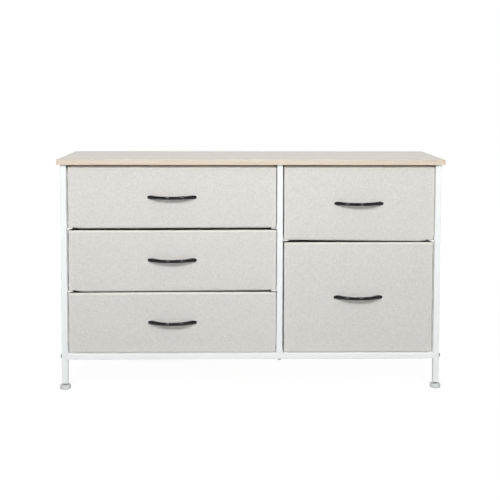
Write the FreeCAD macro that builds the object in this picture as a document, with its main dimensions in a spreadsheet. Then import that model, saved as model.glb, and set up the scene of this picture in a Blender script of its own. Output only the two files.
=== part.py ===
import FreeCAD, Part
import math
import os
import re

import Sketcher

# Fabric drawer dresser: a white square-tube frame, a laminate top board and five sewn fabric drawers.
# Millimetres, X to the right, Y to the back, Z up, origin on the floor under the middle of the top board.

Vector = FreeCAD.Vector

# Driving sizes
SIZES = {
    # Top board
    "dresser_width": 1000,
    "dresser_depth": 300,
    "dresser_height": 600,
    "board_thickness": 13.5,
    "board_overhang": 8.5,
    "board_edge_break": 0.8,
    # Square tube of the frame
    "tube_side": 15,
    "tube_wall": 1.2,
    "tube_corner_radius": 1.8,
    "tube_bore_radius_share": 0.4,
    "rail_height": 78,
    "left_bay_width": 543,
    # Levelling feet
    "foot_pad_diameter": 28,
    "foot_pad_height": 11,
    "foot_gap": 3.5,
    "stud_diameter": 6,
    "stud_length": 30,
    "stud_socket": 5,
    "collar_diameter": 10,
    "collar_height": 2.2,
    # Plugs in the tube ends
    "plug_length": 15,
    "plug_flange": 1.5,
    "plug_clearance": 0.1,
    "nut_length": 14,
    # Bolts, screws and their holes
    "bolt_diameter": 6,
    "bolt_head_diameter": 11.5,
    "bolt_head_height": 4,
    "bolt_reach": 12,
    "socket_width": 4,
    "socket_depth": 2,
    "screw_diameter": 4,
    "screw_head_diameter": 8,
    "screw_head_height": 2.4,
    "top_screw_reach": 9,
    "top_screw_inset": 40,
    "pilot_spare": 1,
    "hole_clearance": 0.3,
    "thread_clearance": 0.15,
    # Folded runners
    "runner_thickness": 1.2,
    "runner_shelf": 15,
    "runner_lip": 12,
    "runner_bend_radius": 1,
    "runner_end_inset": 1,
    # Drawers
    "drawer_side_gap": 3,
    "drawer_slide_gap": 0.3,
    "drawer_head_gap": 4.5,
    "drawer_top_gap": 6.3,
    "drawer_setback": 8,
    "drawer_rear_gap": 2.5,
    "right_top_drawer_height": 190.5,
    "fabric_thickness": 1,
    "fabric_wrap_share": 2,
    "front_board_thickness": 6,
    "wall_board_thickness": 2.5,
    "bottom_board_thickness": 3,
    "bottom_board_clearance": 1,
    "fabric_fold": 2,
    "pocket_mouth_height": 12,
    # Bow handles
    "handle_hole_spacing": 96,
    "handle_foot_length": 22,
    "handle_foot_share": 0.25,
    "handle_foot_height": 10.2,
    "handle_projection": 24,
    "handle_thickness": 7.5,
    "handle_height": 8.2,
    "handle_corner_share": 1.1,
    "handle_screw_reach": 6.5,
    # Run of a cutting tool past a face
    "overrun": 1,
}

# Sizes that follow from the driving ones
FORMULAS = {
    "frame_width": "dresser_width - 2 * board_overhang",
    "frame_depth": "dresser_depth - 2 * board_overhang",
    "frame_top": "dresser_height - board_thickness",
    "tube_bore": "tube_side - 2 * tube_wall",
    "tube_bore_radius": "tube_corner_radius * tube_bore_radius_share",
    "tube_middle": "tube_side / 2",
    "leg_bottom": "foot_pad_height + foot_gap + plug_flange",
    "leg_length": "frame_top - leg_bottom",
    "rail_top": "rail_height + tube_side",
    "rail_length": "frame_width - 2 * tube_side",
    "side_tube_length": "frame_depth - 2 * tube_side",
    "left_inner": "-frame_width / 2 + tube_side",
    "right_inner": "frame_width / 2 - tube_side",
    "middle_left": "left_inner + left_bay_width",
    "middle_right": "middle_left + tube_side",
    "right_bay_width": "right_inner - middle_right",
    "middle_front_length": "frame_top - rail_top",
    "middle_rear_length": "middle_front_length - tube_side",
    "post_bolt_place": "rail_height + tube_middle - leg_bottom",
    "post_top_bolt_place": "leg_length - tube_middle",
    "rail_bolt_place": "left_bay_width + tube_middle",
    "bolt_radius": "bolt_diameter / 2",
    "bolt_head_radius": "bolt_head_diameter / 2",
    "bolt_hole_radius": "bolt_radius + hole_clearance",
    "bolt_access_radius": "bolt_head_radius + hole_clearance",
    "bolt_access_depth": "tube_wall + overrun",
    "bolt_tip": "bolt_head_height + tube_side + bolt_reach",
    "socket_radius": "socket_width / sqrt(3)",
    "nut_hole_radius": "bolt_radius + thread_clearance",
    "plug_side": "tube_bore - 2 * plug_clearance",
    "plug_inset": "tube_wall + plug_clearance",
    "stud_radius": "stud_diameter / 2",
    "stud_hole_radius": "stud_radius + thread_clearance",
    "stud_tip": "stud_socket + stud_length",
    "collar_radius": "collar_diameter / 2",
    "collar_top": "stud_socket + collar_height",
    "foot_pad_radius": "foot_pad_diameter / 2",
    "foot_socket_floor": "foot_pad_height - stud_socket",
    "screw_radius": "screw_diameter / 2",
    "screw_head_radius": "screw_head_diameter / 2",
    "screw_hole_radius": "screw_radius + hole_clearance",
    "pilot_radius": "screw_radius + thread_clearance",
    "pilot_depth": "top_screw_reach + pilot_spare",
    "top_screw_tip": "screw_head_height + tube_side + top_screw_reach",
    "top_screw_rear": "side_tube_length - top_screw_inset",
    "left_pilot_place": "board_overhang + tube_middle",
    "middle_pilot_place": "dresser_width / 2 + middle_left + tube_middle",
    "right_pilot_place": "dresser_width - left_pilot_place",
    "front_pilot_place": "board_overhang + tube_side + top_screw_inset",
    "rear_pilot_place": "dresser_depth - front_pilot_place",
    "runner_outer_radius": "runner_bend_radius + runner_thickness",
    "runner_length": "frame_depth - 2 * runner_end_inset",
    "drawer_lift": "runner_thickness + drawer_slide_gap",
    "left_drawer_height": "(frame_top - rail_top - drawer_top_gap - 2 * drawer_head_gap) / 3 - drawer_lift",
    "left_pitch": "left_drawer_height + drawer_lift + drawer_head_gap",
    "left_bottom_level": "rail_top",
    "left_middle_level": "rail_top + left_pitch",
    "left_top_level": "rail_top + 2 * left_pitch",
    "right_bottom_level": "rail_top",
    "right_top_level": "frame_top - drawer_top_gap - right_top_drawer_height - drawer_lift",
    "right_bottom_drawer_height": "right_top_level - rail_top - drawer_lift - drawer_head_gap",
    "drawer_front": "-frame_depth / 2 + drawer_setback",
    "drawer_depth": "frame_depth - drawer_setback - tube_side - drawer_rear_gap",
    "front_wall": "front_board_thickness + 2 * fabric_thickness",
    "drawer_wall": "wall_board_thickness + 2 * fabric_thickness",
    "fabric_wrap_radius": "fabric_thickness * fabric_wrap_share",
    "cavity_depth": "drawer_depth - front_wall - drawer_wall",
    "mouth_depth": "drawer_depth - 2 * fabric_thickness",
    "back_slot_place": "drawer_depth - fabric_thickness - wall_board_thickness",
    "handle_foot_centre": "handle_hole_spacing / 2 + handle_foot_length * handle_foot_share",
    "handle_hole_depth": "handle_screw_reach + pilot_spare",
    "handle_screw_tip": "screw_head_height + front_wall + handle_screw_reach",
    "front_hole_depth": "front_wall + overrun",
}

# The drawers, each with its bay and the size that gives its height
DRAWERS = {
    "left_top": ("left", "left_drawer_height"),
    "left_middle": ("left", "left_drawer_height"),
    "left_bottom": ("left", "left_drawer_height"),
    "right_top": ("right", "right_top_drawer_height"),
    "right_bottom": ("right", "right_bottom_drawer_height"),
}
for bay in ("left", "right"):
    FORMULAS[f"{bay}_drawer_width"] = f"{bay}_bay_width - 2 * drawer_side_gap"
    FORMULAS[f"{bay}_cavity_width"] = f"{bay}_drawer_width - 2 * drawer_wall"
    FORMULAS[f"{bay}_mouth_width"] = f"{bay}_drawer_width - 2 * fabric_thickness"
    FORMULAS[f"{bay}_far_slot_place"] = f"{bay}_drawer_width - fabric_thickness - wall_board_thickness"
    FORMULAS[f"{bay}_handle_place"] = f"{bay}_drawer_width / 2"
    FORMULAS[f"{bay}_first_hole_place"] = f"{bay}_handle_place - handle_hole_spacing / 2"
    FORMULAS[f"{bay}_second_hole_place"] = f"{bay}_handle_place + handle_hole_spacing / 2"
FORMULAS["left_drawer_place"] = "left_inner + drawer_side_gap"
FORMULAS["right_drawer_place"] = "middle_right + drawer_side_gap"
for drawer, (bay, height) in DRAWERS.items():
    FORMULAS[f"{drawer}_bottom"] = f"{drawer}_level + drawer_lift"
    FORMULAS[f"{drawer}_hollow"] = f"{height} - fabric_thickness"
    FORMULAS[f"{drawer}_board_height"] = f"{height} - fabric_thickness - fabric_fold"
    FORMULAS[f"{drawer}_handle_height"] = f"{height} / 2"

# Turned profiles, as shares of the piece's own radius and height
BOLT_HEAD_SHARES = ((0.62, 0), (0.86, 0.22), (0.97, 0.55), (1, 0.85), (1, 1))
SCREW_HEAD_SHARES = ((0.6, 0), (0.9, 0.3), (1, 0.7), (1, 1))
FOOT_PAD_SHARES = ((0.94, 0), (1, 0.1), (1, 0.74), (0.96, 0.9), (0.85, 1))
# Stations of the handle's sections, from one foot over the middle to the other, and how late the feet flare
HANDLE_STATION_SHARES = (-1, -0.92, -0.8, -0.6, -0.3, 0, 0.3, 0.6, 0.8, 0.92, 1)
HANDLE_FLARE_POWER = 6

# Turns that lay a piece's own Z axis along another axis
UPRIGHT = FreeCAD.Rotation()
ALONG_X = FreeCAD.Rotation(Vector(1, 1, 1), 120)
ALONG_Y = FreeCAD.Rotation(Vector(1, 1, 1), 240)
TO_RIGHT = FreeCAD.Rotation(Vector(0, 1, 0), 90)
TO_LEFT = FreeCAD.Rotation(Vector(0, 1, 0), -90)
TO_FRONT = FreeCAD.Rotation(Vector(1, 0, 0), 90)
UPSIDE_DOWN = FreeCAD.Rotation(Vector(1, 0, 0), 180)
HALF_TURN = FreeCAD.Rotation(Vector(0, 0, 1), 180)

doc = FreeCAD.newDocument("fabric_drawer_dresser")
sheet = doc.addObject("Spreadsheet::Sheet", "sizes")
nodes = []


def fill_sheet():
    """Write the driving sizes as plain numbers and the rest as formulas."""
    cells = [(name, str(value)) for name, value in SIZES.items()]
    cells += [(name, "=" + text) for name, text in FORMULAS.items()]
    for row, (name, text) in enumerate(cells, start=1):
        sheet.set(f"A{row}", name)
        sheet.set(f"B{row}", text)
        sheet.setAlias(f"B{row}", name)
    doc.recompute()


def size(name):
    """The number that a size has now."""
    return float(sheet.get(name))


def bind(piece, prop, text):
    """Tie a property to sizes of the sheet."""
    known = SIZES.keys() | FORMULAS.keys()
    linked = re.sub(r"[a-z_]+", lambda word: f"sizes.{word[0]}" if word[0] in known else word[0], text)
    piece.setExpression(prop, linked)


def place(piece, x, y, z, turn=UPRIGHT):
    """Turn a piece and tie its place to sizes."""
    piece.Placement = FreeCAD.Placement(Vector(), turn)
    for axis, text in zip("xyz", (x, y, z)):
        bind(piece, f"Placement.Base.{axis}", text)


def keep(piece, label):
    """Name a finished sub-part, which goes to its own file."""
    piece.Label = label
    nodes.append(piece)
    return piece


# Sketches


def new_sketch(body, name, role, offset=None):
    """A sketch on one of the body's own planes, or on a plane offset from it."""
    sketch = body.newObject("Sketcher::SketchObject", name)
    origin_plane = [plane for plane in body.Origin.OriginFeatures if plane.Role == role][0]
    sketch.AttachmentSupport = [(origin_plane, "")]
    sketch.MapMode = "FlatFace"
    if offset:
        bind(sketch, "AttachmentOffset.Base.z", offset)
    return sketch


def dimension(sketch, kind, ends, value, text):
    """A dimension of a sketch, tied to sizes."""
    index = sketch.addConstraint(Sketcher.Constraint(kind, *ends, value))
    name = f"dimension_{index}"
    sketch.renameConstraint(index, name)
    bind(sketch, f"Constraints.{name}", text)


def locate(sketch, element, point, across, up):
    """Tie a sketched point to the sketch's origin; each place is a size, a size and its share, or zero."""
    for kind, axis, where in (("DistanceX", -2, across), ("DistanceY", -1, up)):
        name, share = where if isinstance(where, tuple) else (where, 1)
        if name == 0 or abs(share) < 1e-9:
            sketch.addConstraint(Sketcher.Constraint("PointOnObject", element, point, axis))
        else:
            dimension(sketch, kind, (-1, 1, element, point), size(name) * share, f"{name} * ({share})")


def sketch_number(where):
    """The number for a place that is a size, a size and its share, or zero."""
    name, share = where if isinstance(where, tuple) else (where, 1)
    return size(name) * share if name else 0.0


def sketch_polygon(sketch, corners):
    """A closed outline of straight lines."""
    points = [Vector(sketch_number(across), sketch_number(up), 0) for across, up in corners]
    count = len(points)
    first = sketch.GeometryCount
    for index in range(count):
        sketch.addGeometry(Part.LineSegment(points[index], points[(index + 1) % count]), False)
    for index, (across, up) in enumerate(corners):
        following = first + (index + 1) % count
        sketch.addConstraint(Sketcher.Constraint("Coincident", first + index, 2, following, 1))
        locate(sketch, first + index, 1, across, up)


def sketch_circle(sketch, across, up, radius):
    """A circle whose centre and radius are sizes."""
    centre = Vector(sketch_number(across), sketch_number(up), 0)
    element = sketch.addGeometry(Part.Circle(centre, Vector(0, 0, 1), size(radius)), False)
    locate(sketch, element, 3, across, up)
    dimension(sketch, "Radius", (element,), size(radius), radius)


def sketch_rectangle(sketch, across, up, width, depth):
    """A rectangle from its lower left corner."""
    left, low = sketch_number(across), sketch_number(up)
    right, high = left + size(width), low + size(depth)
    corners = [Vector(left, low, 0), Vector(right, low, 0), Vector(right, high, 0), Vector(left, high, 0)]
    first = sketch.GeometryCount
    for index in range(4):
        sketch.addGeometry(Part.LineSegment(corners[index], corners[(index + 1) % 4]), False)
    for index in range(4):
        ends = (first + index, 2, first + (index + 1) % 4, 1)
        sketch.addConstraint(Sketcher.Constraint("Coincident", *ends))
    for index in (0, 2):
        sketch.addConstraint(Sketcher.Constraint("Horizontal", first + index))
        sketch.addConstraint(Sketcher.Constraint("Vertical", first + index + 1))
    locate(sketch, first, 1, across, up)
    dimension(sketch, "DistanceX", (first, 1, first, 2), size(width), width)
    dimension(sketch, "DistanceY", (first + 1, 1, first + 1, 2), size(depth), depth)


def sketch_rounded_rectangle(sketch, across, up, width, depth, radius):
    """A rectangle with four round corners, from its lower left corner."""
    left, low = sketch_number(across), sketch_number(up)
    right, high = left + size(width), low + size(depth)
    bend = size(radius)
    sides = (
        (Vector(left + bend, low, 0), Vector(right - bend, low, 0)),
        (Vector(right, low + bend, 0), Vector(right, high - bend, 0)),
        (Vector(right - bend, high, 0), Vector(left + bend, high, 0)),
        (Vector(left, high - bend, 0), Vector(left, low + bend, 0)),
    )
    centres = (
        Vector(right - bend, low + bend, 0),
        Vector(right - bend, high - bend, 0),
        Vector(left + bend, high - bend, 0),
        Vector(left + bend, low + bend, 0),
    )
    first = sketch.GeometryCount
    for index in range(4):
        sketch.addGeometry(Part.LineSegment(*sides[index]), False)
        start = (index - 1) * math.pi / 2
        corner = Part.Circle(centres[index], Vector(0, 0, 1), bend)
        sketch.addGeometry(Part.ArcOfCircle(corner, start, start + math.pi / 2), False)
    for index in range(8):
        ends = (first + index, 2, first + (index + 1) % 8, 1)
        sketch.addConstraint(Sketcher.Constraint("Tangent", *ends))
    for index in (0, 4):
        sketch.addConstraint(Sketcher.Constraint("Horizontal", first + index))
        sketch.addConstraint(Sketcher.Constraint("Vertical", first + index + 2))
    for index in (3, 5, 7):
        sketch.addConstraint(Sketcher.Constraint("Equal", first + 1, first + index))
    dimension(sketch, "Radius", (first + 1,), bend, radius)
    dimension(sketch, "DistanceX", (first + 6, 2, first + 2, 1), size(width), width)
    dimension(sketch, "DistanceY", (first, 2, first + 4, 1), size(depth), depth)
    for kind, axis, element, where in (("DistanceX", -2, first + 6, across), ("DistanceY", -1, first, up)):
        if where == 0:
            sketch.addConstraint(Sketcher.Constraint("PointOnObject", element, 1, axis))
        else:
            dimension(sketch, kind, (-1, 1, element, 1), size(where), where)


# Features and solids


def pad(body, name, sketch, length):
    """Push a sketch out along its normal."""
    feature = body.newObject("PartDesign::Pad", name)
    feature.Profile = sketch
    bind(feature, "Length", length)
    doc.recompute()
    return feature


def pocket(body, name, sketch, length=None, reverse=False):
    """Cut a sketch into the body, to a depth or right through, and see that it removes something."""
    before = body.Shape.Volume
    feature = body.newObject("PartDesign::Pocket", name)
    feature.Profile = sketch
    feature.Reversed = reverse
    if length:
        bind(feature, "Length", length)
    else:
        feature.Type = "ThroughAll"
    doc.recompute()
    if body.Shape.Volume >= before:
        raise RuntimeError(f"{name} cuts nothing")
    return feature


def turned(name, corners):
    """A body turned about its own Z axis from an outline of radii and heights."""
    body = doc.addObject("PartDesign::Body", name)
    outline = new_sketch(body, f"{name}_outline", "XZ_Plane")
    sketch_polygon(outline, corners)
    turn = body.newObject("PartDesign::Revolution", f"{name}_turn")
    turn.Profile = outline
    turn.ReferenceAxis = (outline, ["V_Axis"])
    turn.Angle = 360
    doc.recompute()
    return body


def box(name, sides, corner):
    """A plain block from its three sides and its lowest corner."""
    block = doc.addObject("Part::Box", name)
    for prop, text in zip(("Length", "Width", "Height"), sides):
        bind(block, prop, text)
    place(block, *corner)
    return block


def group(label, members):
    """Separate solids that share one node."""
    compound = doc.addObject("Part::Compound", label)
    compound.Links = members
    return keep(compound, label)


def copies(label, master, places):
    """Copies of one solid, each at its own place and turn, in one node."""
    members = []
    for index, (x, y, z, turn) in enumerate(places):
        copy = doc.addObject("App::Link", f"{label}_{index}")
        copy.LinkedObject = master
        place(copy, x, y, z, turn)
        members.append(copy)
    return group(label, members)


# Frame


def tube(label, length, corner, turn):
    """A length of square tube along the body's own Z axis."""
    body = doc.addObject("PartDesign::Body", label)
    section = new_sketch(body, f"{label}_section", "XY_Plane")
    sketch_rounded_rectangle(section, 0, 0, "tube_side", "tube_side", "tube_corner_radius")
    sketch_rounded_rectangle(section, "tube_wall", "tube_wall", "tube_bore", "tube_bore", "tube_bore_radius")
    pad(body, f"{label}_length", section, length)
    place(body, *corner, turn)
    return keep(body, label)


def cross_holes(body, role, along, radius):
    """Holes through both walls of a tube, square to the given plane of the tube."""
    name = f"{body.Label}_{role[:2]}_holes"
    sketch = new_sketch(body, f"{name}_sketch", role)
    for where in along:
        sketch_circle(sketch, "tube_middle", where, radius)
    pocket(body, name, sketch, reverse=role == "YZ_Plane")


def make_posts():
    """Four legs, and two middle posts that stand on the bottom rails."""
    sides = (("left", "-frame_width / 2"), ("right", "right_inner"))
    ends = (("front", "-frame_depth / 2"), ("rear", "frame_depth / 2 - tube_side"))
    for side, x in sides:
        for end, y in ends:
            post = tube(f"{side}_{end}_post", "leg_length", (x, y, "leg_bottom"), UPRIGHT)
            bolted = ["post_bolt_place"]
            if end == "rear":
                bolted.append("post_top_bolt_place")
            cross_holes(post, "YZ_Plane", bolted, "bolt_hole_radius")
    for end, y in ends:
        tube(f"middle_{end}_post", f"middle_{end}_length", ("middle_left", y, "rail_top"), UPRIGHT)


def make_rails():
    """Two bottom rails and the rear top rail, bolted between the legs."""
    front = "-frame_depth / 2"
    rear = "frame_depth / 2 - tube_side"
    rails = (
        ("front_bottom_rail", front, "rail_height"),
        ("rear_bottom_rail", rear, "rail_height"),
        ("rear_top_rail", rear, "frame_top - tube_side"),
    )
    for label, y, z in rails:
        rail = tube(label, "rail_length", ("left_inner", y, z), ALONG_X)
        cross_holes(rail, "XZ_Plane", ["rail_bolt_place"], "bolt_hole_radius")
    access = new_sketch(rail, "rear_top_rail_access_sketch", "XZ_Plane", "-tube_side")
    sketch_circle(access, "tube_middle", "rail_bolt_place", "bolt_access_radius")
    pocket(rail, "rear_top_rail_access", access, "bolt_access_depth", reverse=True)


def make_side_tubes():
    """Tubes from front to back that tie each pair of posts and carry the top board."""
    rows = (("left", "-frame_width / 2"), ("middle", "middle_left"), ("right", "right_inner"))
    for side, x in rows:
        corner = (x, "-side_tube_length / 2", "frame_top - tube_side")
        top_tube = tube(f"{side}_top_tube", "side_tube_length", corner, ALONG_Y)
        cross_holes(top_tube, "YZ_Plane", ["top_screw_inset", "top_screw_rear"], "screw_hole_radius")
        if side != "middle":
            corner = (x, "-side_tube_length / 2", "rail_height")
            tube(f"{side}_bottom_tube", "side_tube_length", corner, ALONG_Y)


def make_top_board():
    """The laminate board, its upper edges broken and pilot holes in its underside."""
    body = doc.addObject("PartDesign::Body", "top_board")
    outline = new_sketch(body, "top_board_outline", "XY_Plane")
    sketch_rectangle(outline, 0, 0, "dresser_width", "dresser_depth")
    slab = pad(body, "top_board_slab", outline, "board_thickness")
    upper = slab.Shape.BoundBox.Center.z
    edges = [f"Edge{index}" for index, edge in enumerate(slab.Shape.Edges, 1) if edge.BoundBox.ZMin > upper]
    broken = body.newObject("PartDesign::Chamfer", "top_board_edge_break")
    broken.Base = (slab, edges)
    bind(broken, "Size", "board_edge_break")
    doc.recompute()
    pilots = new_sketch(body, "top_board_pilot_sketch", "XY_Plane")
    for across in ("left_pilot_place", "middle_pilot_place", "right_pilot_place"):
        for up in ("front_pilot_place", "rear_pilot_place"):
            sketch_circle(pilots, across, up, "pilot_radius")
    pocket(body, "top_board_pilots", pilots, "pilot_depth", reverse=True)
    place(body, "-dresser_width / 2", "-dresser_depth / 2", "frame_top")
    keep(body, "top_board")


def make_runners():
    """Folded angles: a shelf under each drawer's edge and a lip welded to the posts."""
    body = doc.addObject("PartDesign::Body", "runner")
    section = new_sketch(body, "runner_section", "XY_Plane")
    lip, shelf, metal = size("runner_lip"), size("runner_shelf"), size("runner_thickness")
    inner, outer = size("runner_bend_radius"), size("runner_outer_radius")
    sides = (
        (Vector(outer, 0, 0), Vector(lip, 0, 0)),
        (Vector(lip, 0, 0), Vector(lip, metal, 0)),
        (Vector(lip, metal, 0), Vector(metal + inner, metal, 0)),
        (Vector(metal, metal + inner, 0), Vector(metal, shelf, 0)),
        (Vector(metal, shelf, 0), Vector(0, shelf, 0)),
        (Vector(0, shelf, 0), Vector(0, outer, 0)),
    )
    for start, end in sides:
        section.addGeometry(Part.LineSegment(start, end), False)
    for radius, offset in ((inner, metal + inner), (outer, outer)):
        bend = Part.Circle(Vector(offset, offset, 0), Vector(0, 0, 1), radius)
        section.addGeometry(Part.ArcOfCircle(bend, math.pi, 1.5 * math.pi), False)
    inner_bend, outer_bend = 6, 7
    for line in (0, 1, 3, 4):
        section.addConstraint(Sketcher.Constraint("Coincident", line, 2, line + 1, 1))
    for ends in ((2, 2, inner_bend, 2), (3, 1, inner_bend, 1), (5, 2, outer_bend, 1), (0, 1, outer_bend, 2)):
        section.addConstraint(Sketcher.Constraint("Tangent", *ends))
    for level, upright in ((0, 1), (2, 3), (4, 5)):
        section.addConstraint(Sketcher.Constraint("Horizontal", level))
        section.addConstraint(Sketcher.Constraint("Vertical", upright))
    section.addConstraint(Sketcher.Constraint("PointOnObject", 0, 2, -1))
    section.addConstraint(Sketcher.Constraint("PointOnObject", 5, 1, -2))
    dimension(section, "Radius", (inner_bend,), inner, "runner_bend_radius")
    dimension(section, "Radius", (outer_bend,), outer, "runner_outer_radius")
    dimension(section, "DistanceY", (1, 1, 1, 2), metal, "runner_thickness")
    dimension(section, "DistanceX", (4, 2, 4, 1), metal, "runner_thickness")
    dimension(section, "DistanceX", (5, 1, 0, 2), lip, "runner_lip")
    dimension(section, "DistanceY", (0, 2, 4, 1), shelf, "runner_shelf")
    pad(body, "runner_length", section, "runner_length")
    front = "-runner_length / 2"
    rear = "runner_length / 2"
    left_levels = ("left_bottom_level", "left_middle_level", "left_top_level")
    right_levels = ("right_bottom_level", "right_top_level")
    facing_left = HALF_TURN.multiply(ALONG_Y)
    copies("left_runners", body, [("left_inner", front, level, ALONG_Y) for level in left_levels])
    middle = [("middle_left", rear, level, facing_left) for level in left_levels]
    middle += [("middle_right", front, level, ALONG_Y) for level in right_levels]
    copies("middle_runners", body, middle)
    copies("right_runners", body, [("right_inner", rear, level, facing_left) for level in right_levels])


# Fasteners and plugs


def head_outline(shares, radius, height):
    """The turned outline of a head, from its top down to its seat."""
    return [(0, 0)] + [((radius, across), (height, down)) for across, down in shares]


def make_frame_bolts():
    """Button-head bolts with a hex socket, through the legs into the rails and through the rails."""
    outline = head_outline(BOLT_HEAD_SHARES, "bolt_head_radius", "bolt_head_height")
    outline += [("bolt_radius", "bolt_head_height"), ("bolt_radius", "bolt_tip"), (0, "bolt_tip")]
    body = turned("bolt", outline)
    socket = new_sketch(body, "bolt_socket_sketch", "XY_Plane")
    angles = [math.radians(60 * step) for step in range(6)]
    sketch_polygon(
        socket,
        [(("socket_radius", round(math.cos(a), 9)), ("socket_radius", round(math.sin(a), 9))) for a in angles],
    )
    pocket(body, "bolt_socket", socket, "socket_depth", reverse=True)
    front = "-frame_depth / 2 + tube_middle"
    rear = "frame_depth / 2 - tube_middle"
    low = "rail_height + tube_middle"
    high = "frame_top - tube_middle"
    middle = "middle_left + tube_middle"
    left = "-frame_width / 2 - bolt_head_height"
    right = "frame_width / 2 + bolt_head_height"
    places = []
    for y, z in ((front, low), (rear, low), (rear, high)):
        places += [(left, y, z, TO_RIGHT), (right, y, z, TO_LEFT)]
    for y in (front, rear):
        places.append((middle, y, "rail_height - bolt_head_height", UPRIGHT))
    seat = "frame_top - tube_side + tube_wall + bolt_head_height"
    places.append((middle, rear, seat, UPSIDE_DOWN))
    copies("frame_bolts", body, places)


def make_rail_end_nuts():
    """Threaded plugs in the ends of the rails and middle posts."""
    body = doc.addObject("PartDesign::Body", "end_nut")
    section = new_sketch(body, "end_nut_section", "XY_Plane")
    sketch_rounded_rectangle(
        section, "plug_inset", "plug_inset", "plug_side", "plug_side", "tube_bore_radius"
    )
    sketch_circle(section, "tube_middle", "tube_middle", "nut_hole_radius")
    pad(body, "end_nut_length", section, "nut_length")
    front = "-frame_depth / 2"
    rear = "frame_depth / 2 - tube_side"
    places = []
    for y, z in ((front, "rail_height"), (rear, "rail_height"), (rear, "frame_top - tube_side")):
        places.append(("left_inner", y, z, ALONG_X))
        places.append(("right_inner - nut_length", y, z, ALONG_X))
    for y, z in ((front, "rail_top"), (rear, "rail_top"), (rear, "frame_top - tube_side - nut_length")):
        places.append(("middle_left", y, z, UPRIGHT))
    copies("rail_end_nuts", body, places)


def make_leg_inserts():
    """Flanged plugs in the legs' lower ends, threaded for the feet."""
    body = doc.addObject("PartDesign::Body", "leg_insert")
    flange = new_sketch(body, "leg_insert_flange_sketch", "XY_Plane")
    sketch_rounded_rectangle(flange, 0, 0, "tube_side", "tube_side", "tube_corner_radius")
    sketch_circle(flange, "tube_middle", "tube_middle", "stud_hole_radius")
    pad(body, "leg_insert_flange", flange, "plug_flange")
    plug = new_sketch(body, "leg_insert_plug_sketch", "XY_Plane", "plug_flange")
    sketch_rounded_rectangle(plug, "plug_inset", "plug_inset", "plug_side", "plug_side", "tube_bore_radius")
    sketch_circle(plug, "tube_middle", "tube_middle", "stud_hole_radius")
    pad(body, "leg_insert_plug", plug, "plug_length")
    places = []
    for x in ("-frame_width / 2", "right_inner"):
        for y in ("-frame_depth / 2", "frame_depth / 2 - tube_side"):
            places.append((x, y, "leg_bottom - plug_flange", UPRIGHT))
    copies("leg_inserts", body, places)


def pan_screw(name, tip):
    """A pan-head screw along its own Z axis, its head's top at the origin."""
    outline = head_outline(SCREW_HEAD_SHARES, "screw_head_radius", "screw_head_height")
    outline += [("screw_radius", "screw_head_height"), ("screw_radius", tip), (0, tip)]
    return turned(name, outline)


def make_top_screws():
    """Screws up through the top tubes into the board."""
    screw = pan_screw("top_screw", "top_screw_tip")
    places = []
    for x in ("-frame_width / 2 + tube_middle", "middle_left + tube_middle", "frame_width / 2 - tube_middle"):
        for y in ("-side_tube_length / 2 + top_screw_inset", "side_tube_length / 2 - top_screw_inset"):
            places.append((x, y, "frame_top - tube_side - screw_head_height", UPRIGHT))
    copies("top_screws", screw, places)


# Levelling feet


def make_feet():
    """Four pads, each moulded on a threaded stud with a collar."""
    pad_outline = [(0, 0)] + [(("foot_pad_radius", r), ("foot_pad_height", h)) for r, h in FOOT_PAD_SHARES]
    pad_outline += [
        ("stud_hole_radius", "foot_pad_height"),
        ("stud_hole_radius", "foot_socket_floor"),
        (0, "foot_socket_floor"),
    ]
    for side, x in (("left", "-frame_width / 2 + tube_middle"), ("right", "frame_width / 2 - tube_middle")):
        ends = (("front", "-frame_depth / 2 + tube_middle"), ("rear", "frame_depth / 2 - tube_middle"))
        for end, y in ends:
            foot_pad = turned(f"{side}_{end}_foot_pad", pad_outline)
            place(foot_pad, x, y, "0")
            keep(foot_pad, f"{side}_{end}_foot_pad")
            stud = turned(
                f"{side}_{end}_foot_stud",
                [
                    (0, 0),
                    ("stud_radius", 0),
                    ("stud_radius", "stud_socket"),
                    ("collar_radius", "stud_socket"),
                    ("collar_radius", "collar_top"),
                    ("stud_radius", "collar_top"),
                    ("stud_radius", "stud_tip"),
                    (0, "stud_tip"),
                ],
            )
            place(stud, x, y, "foot_socket_floor")
            keep(stud, f"{side}_{end}_foot_stud")


# Drawers


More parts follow.
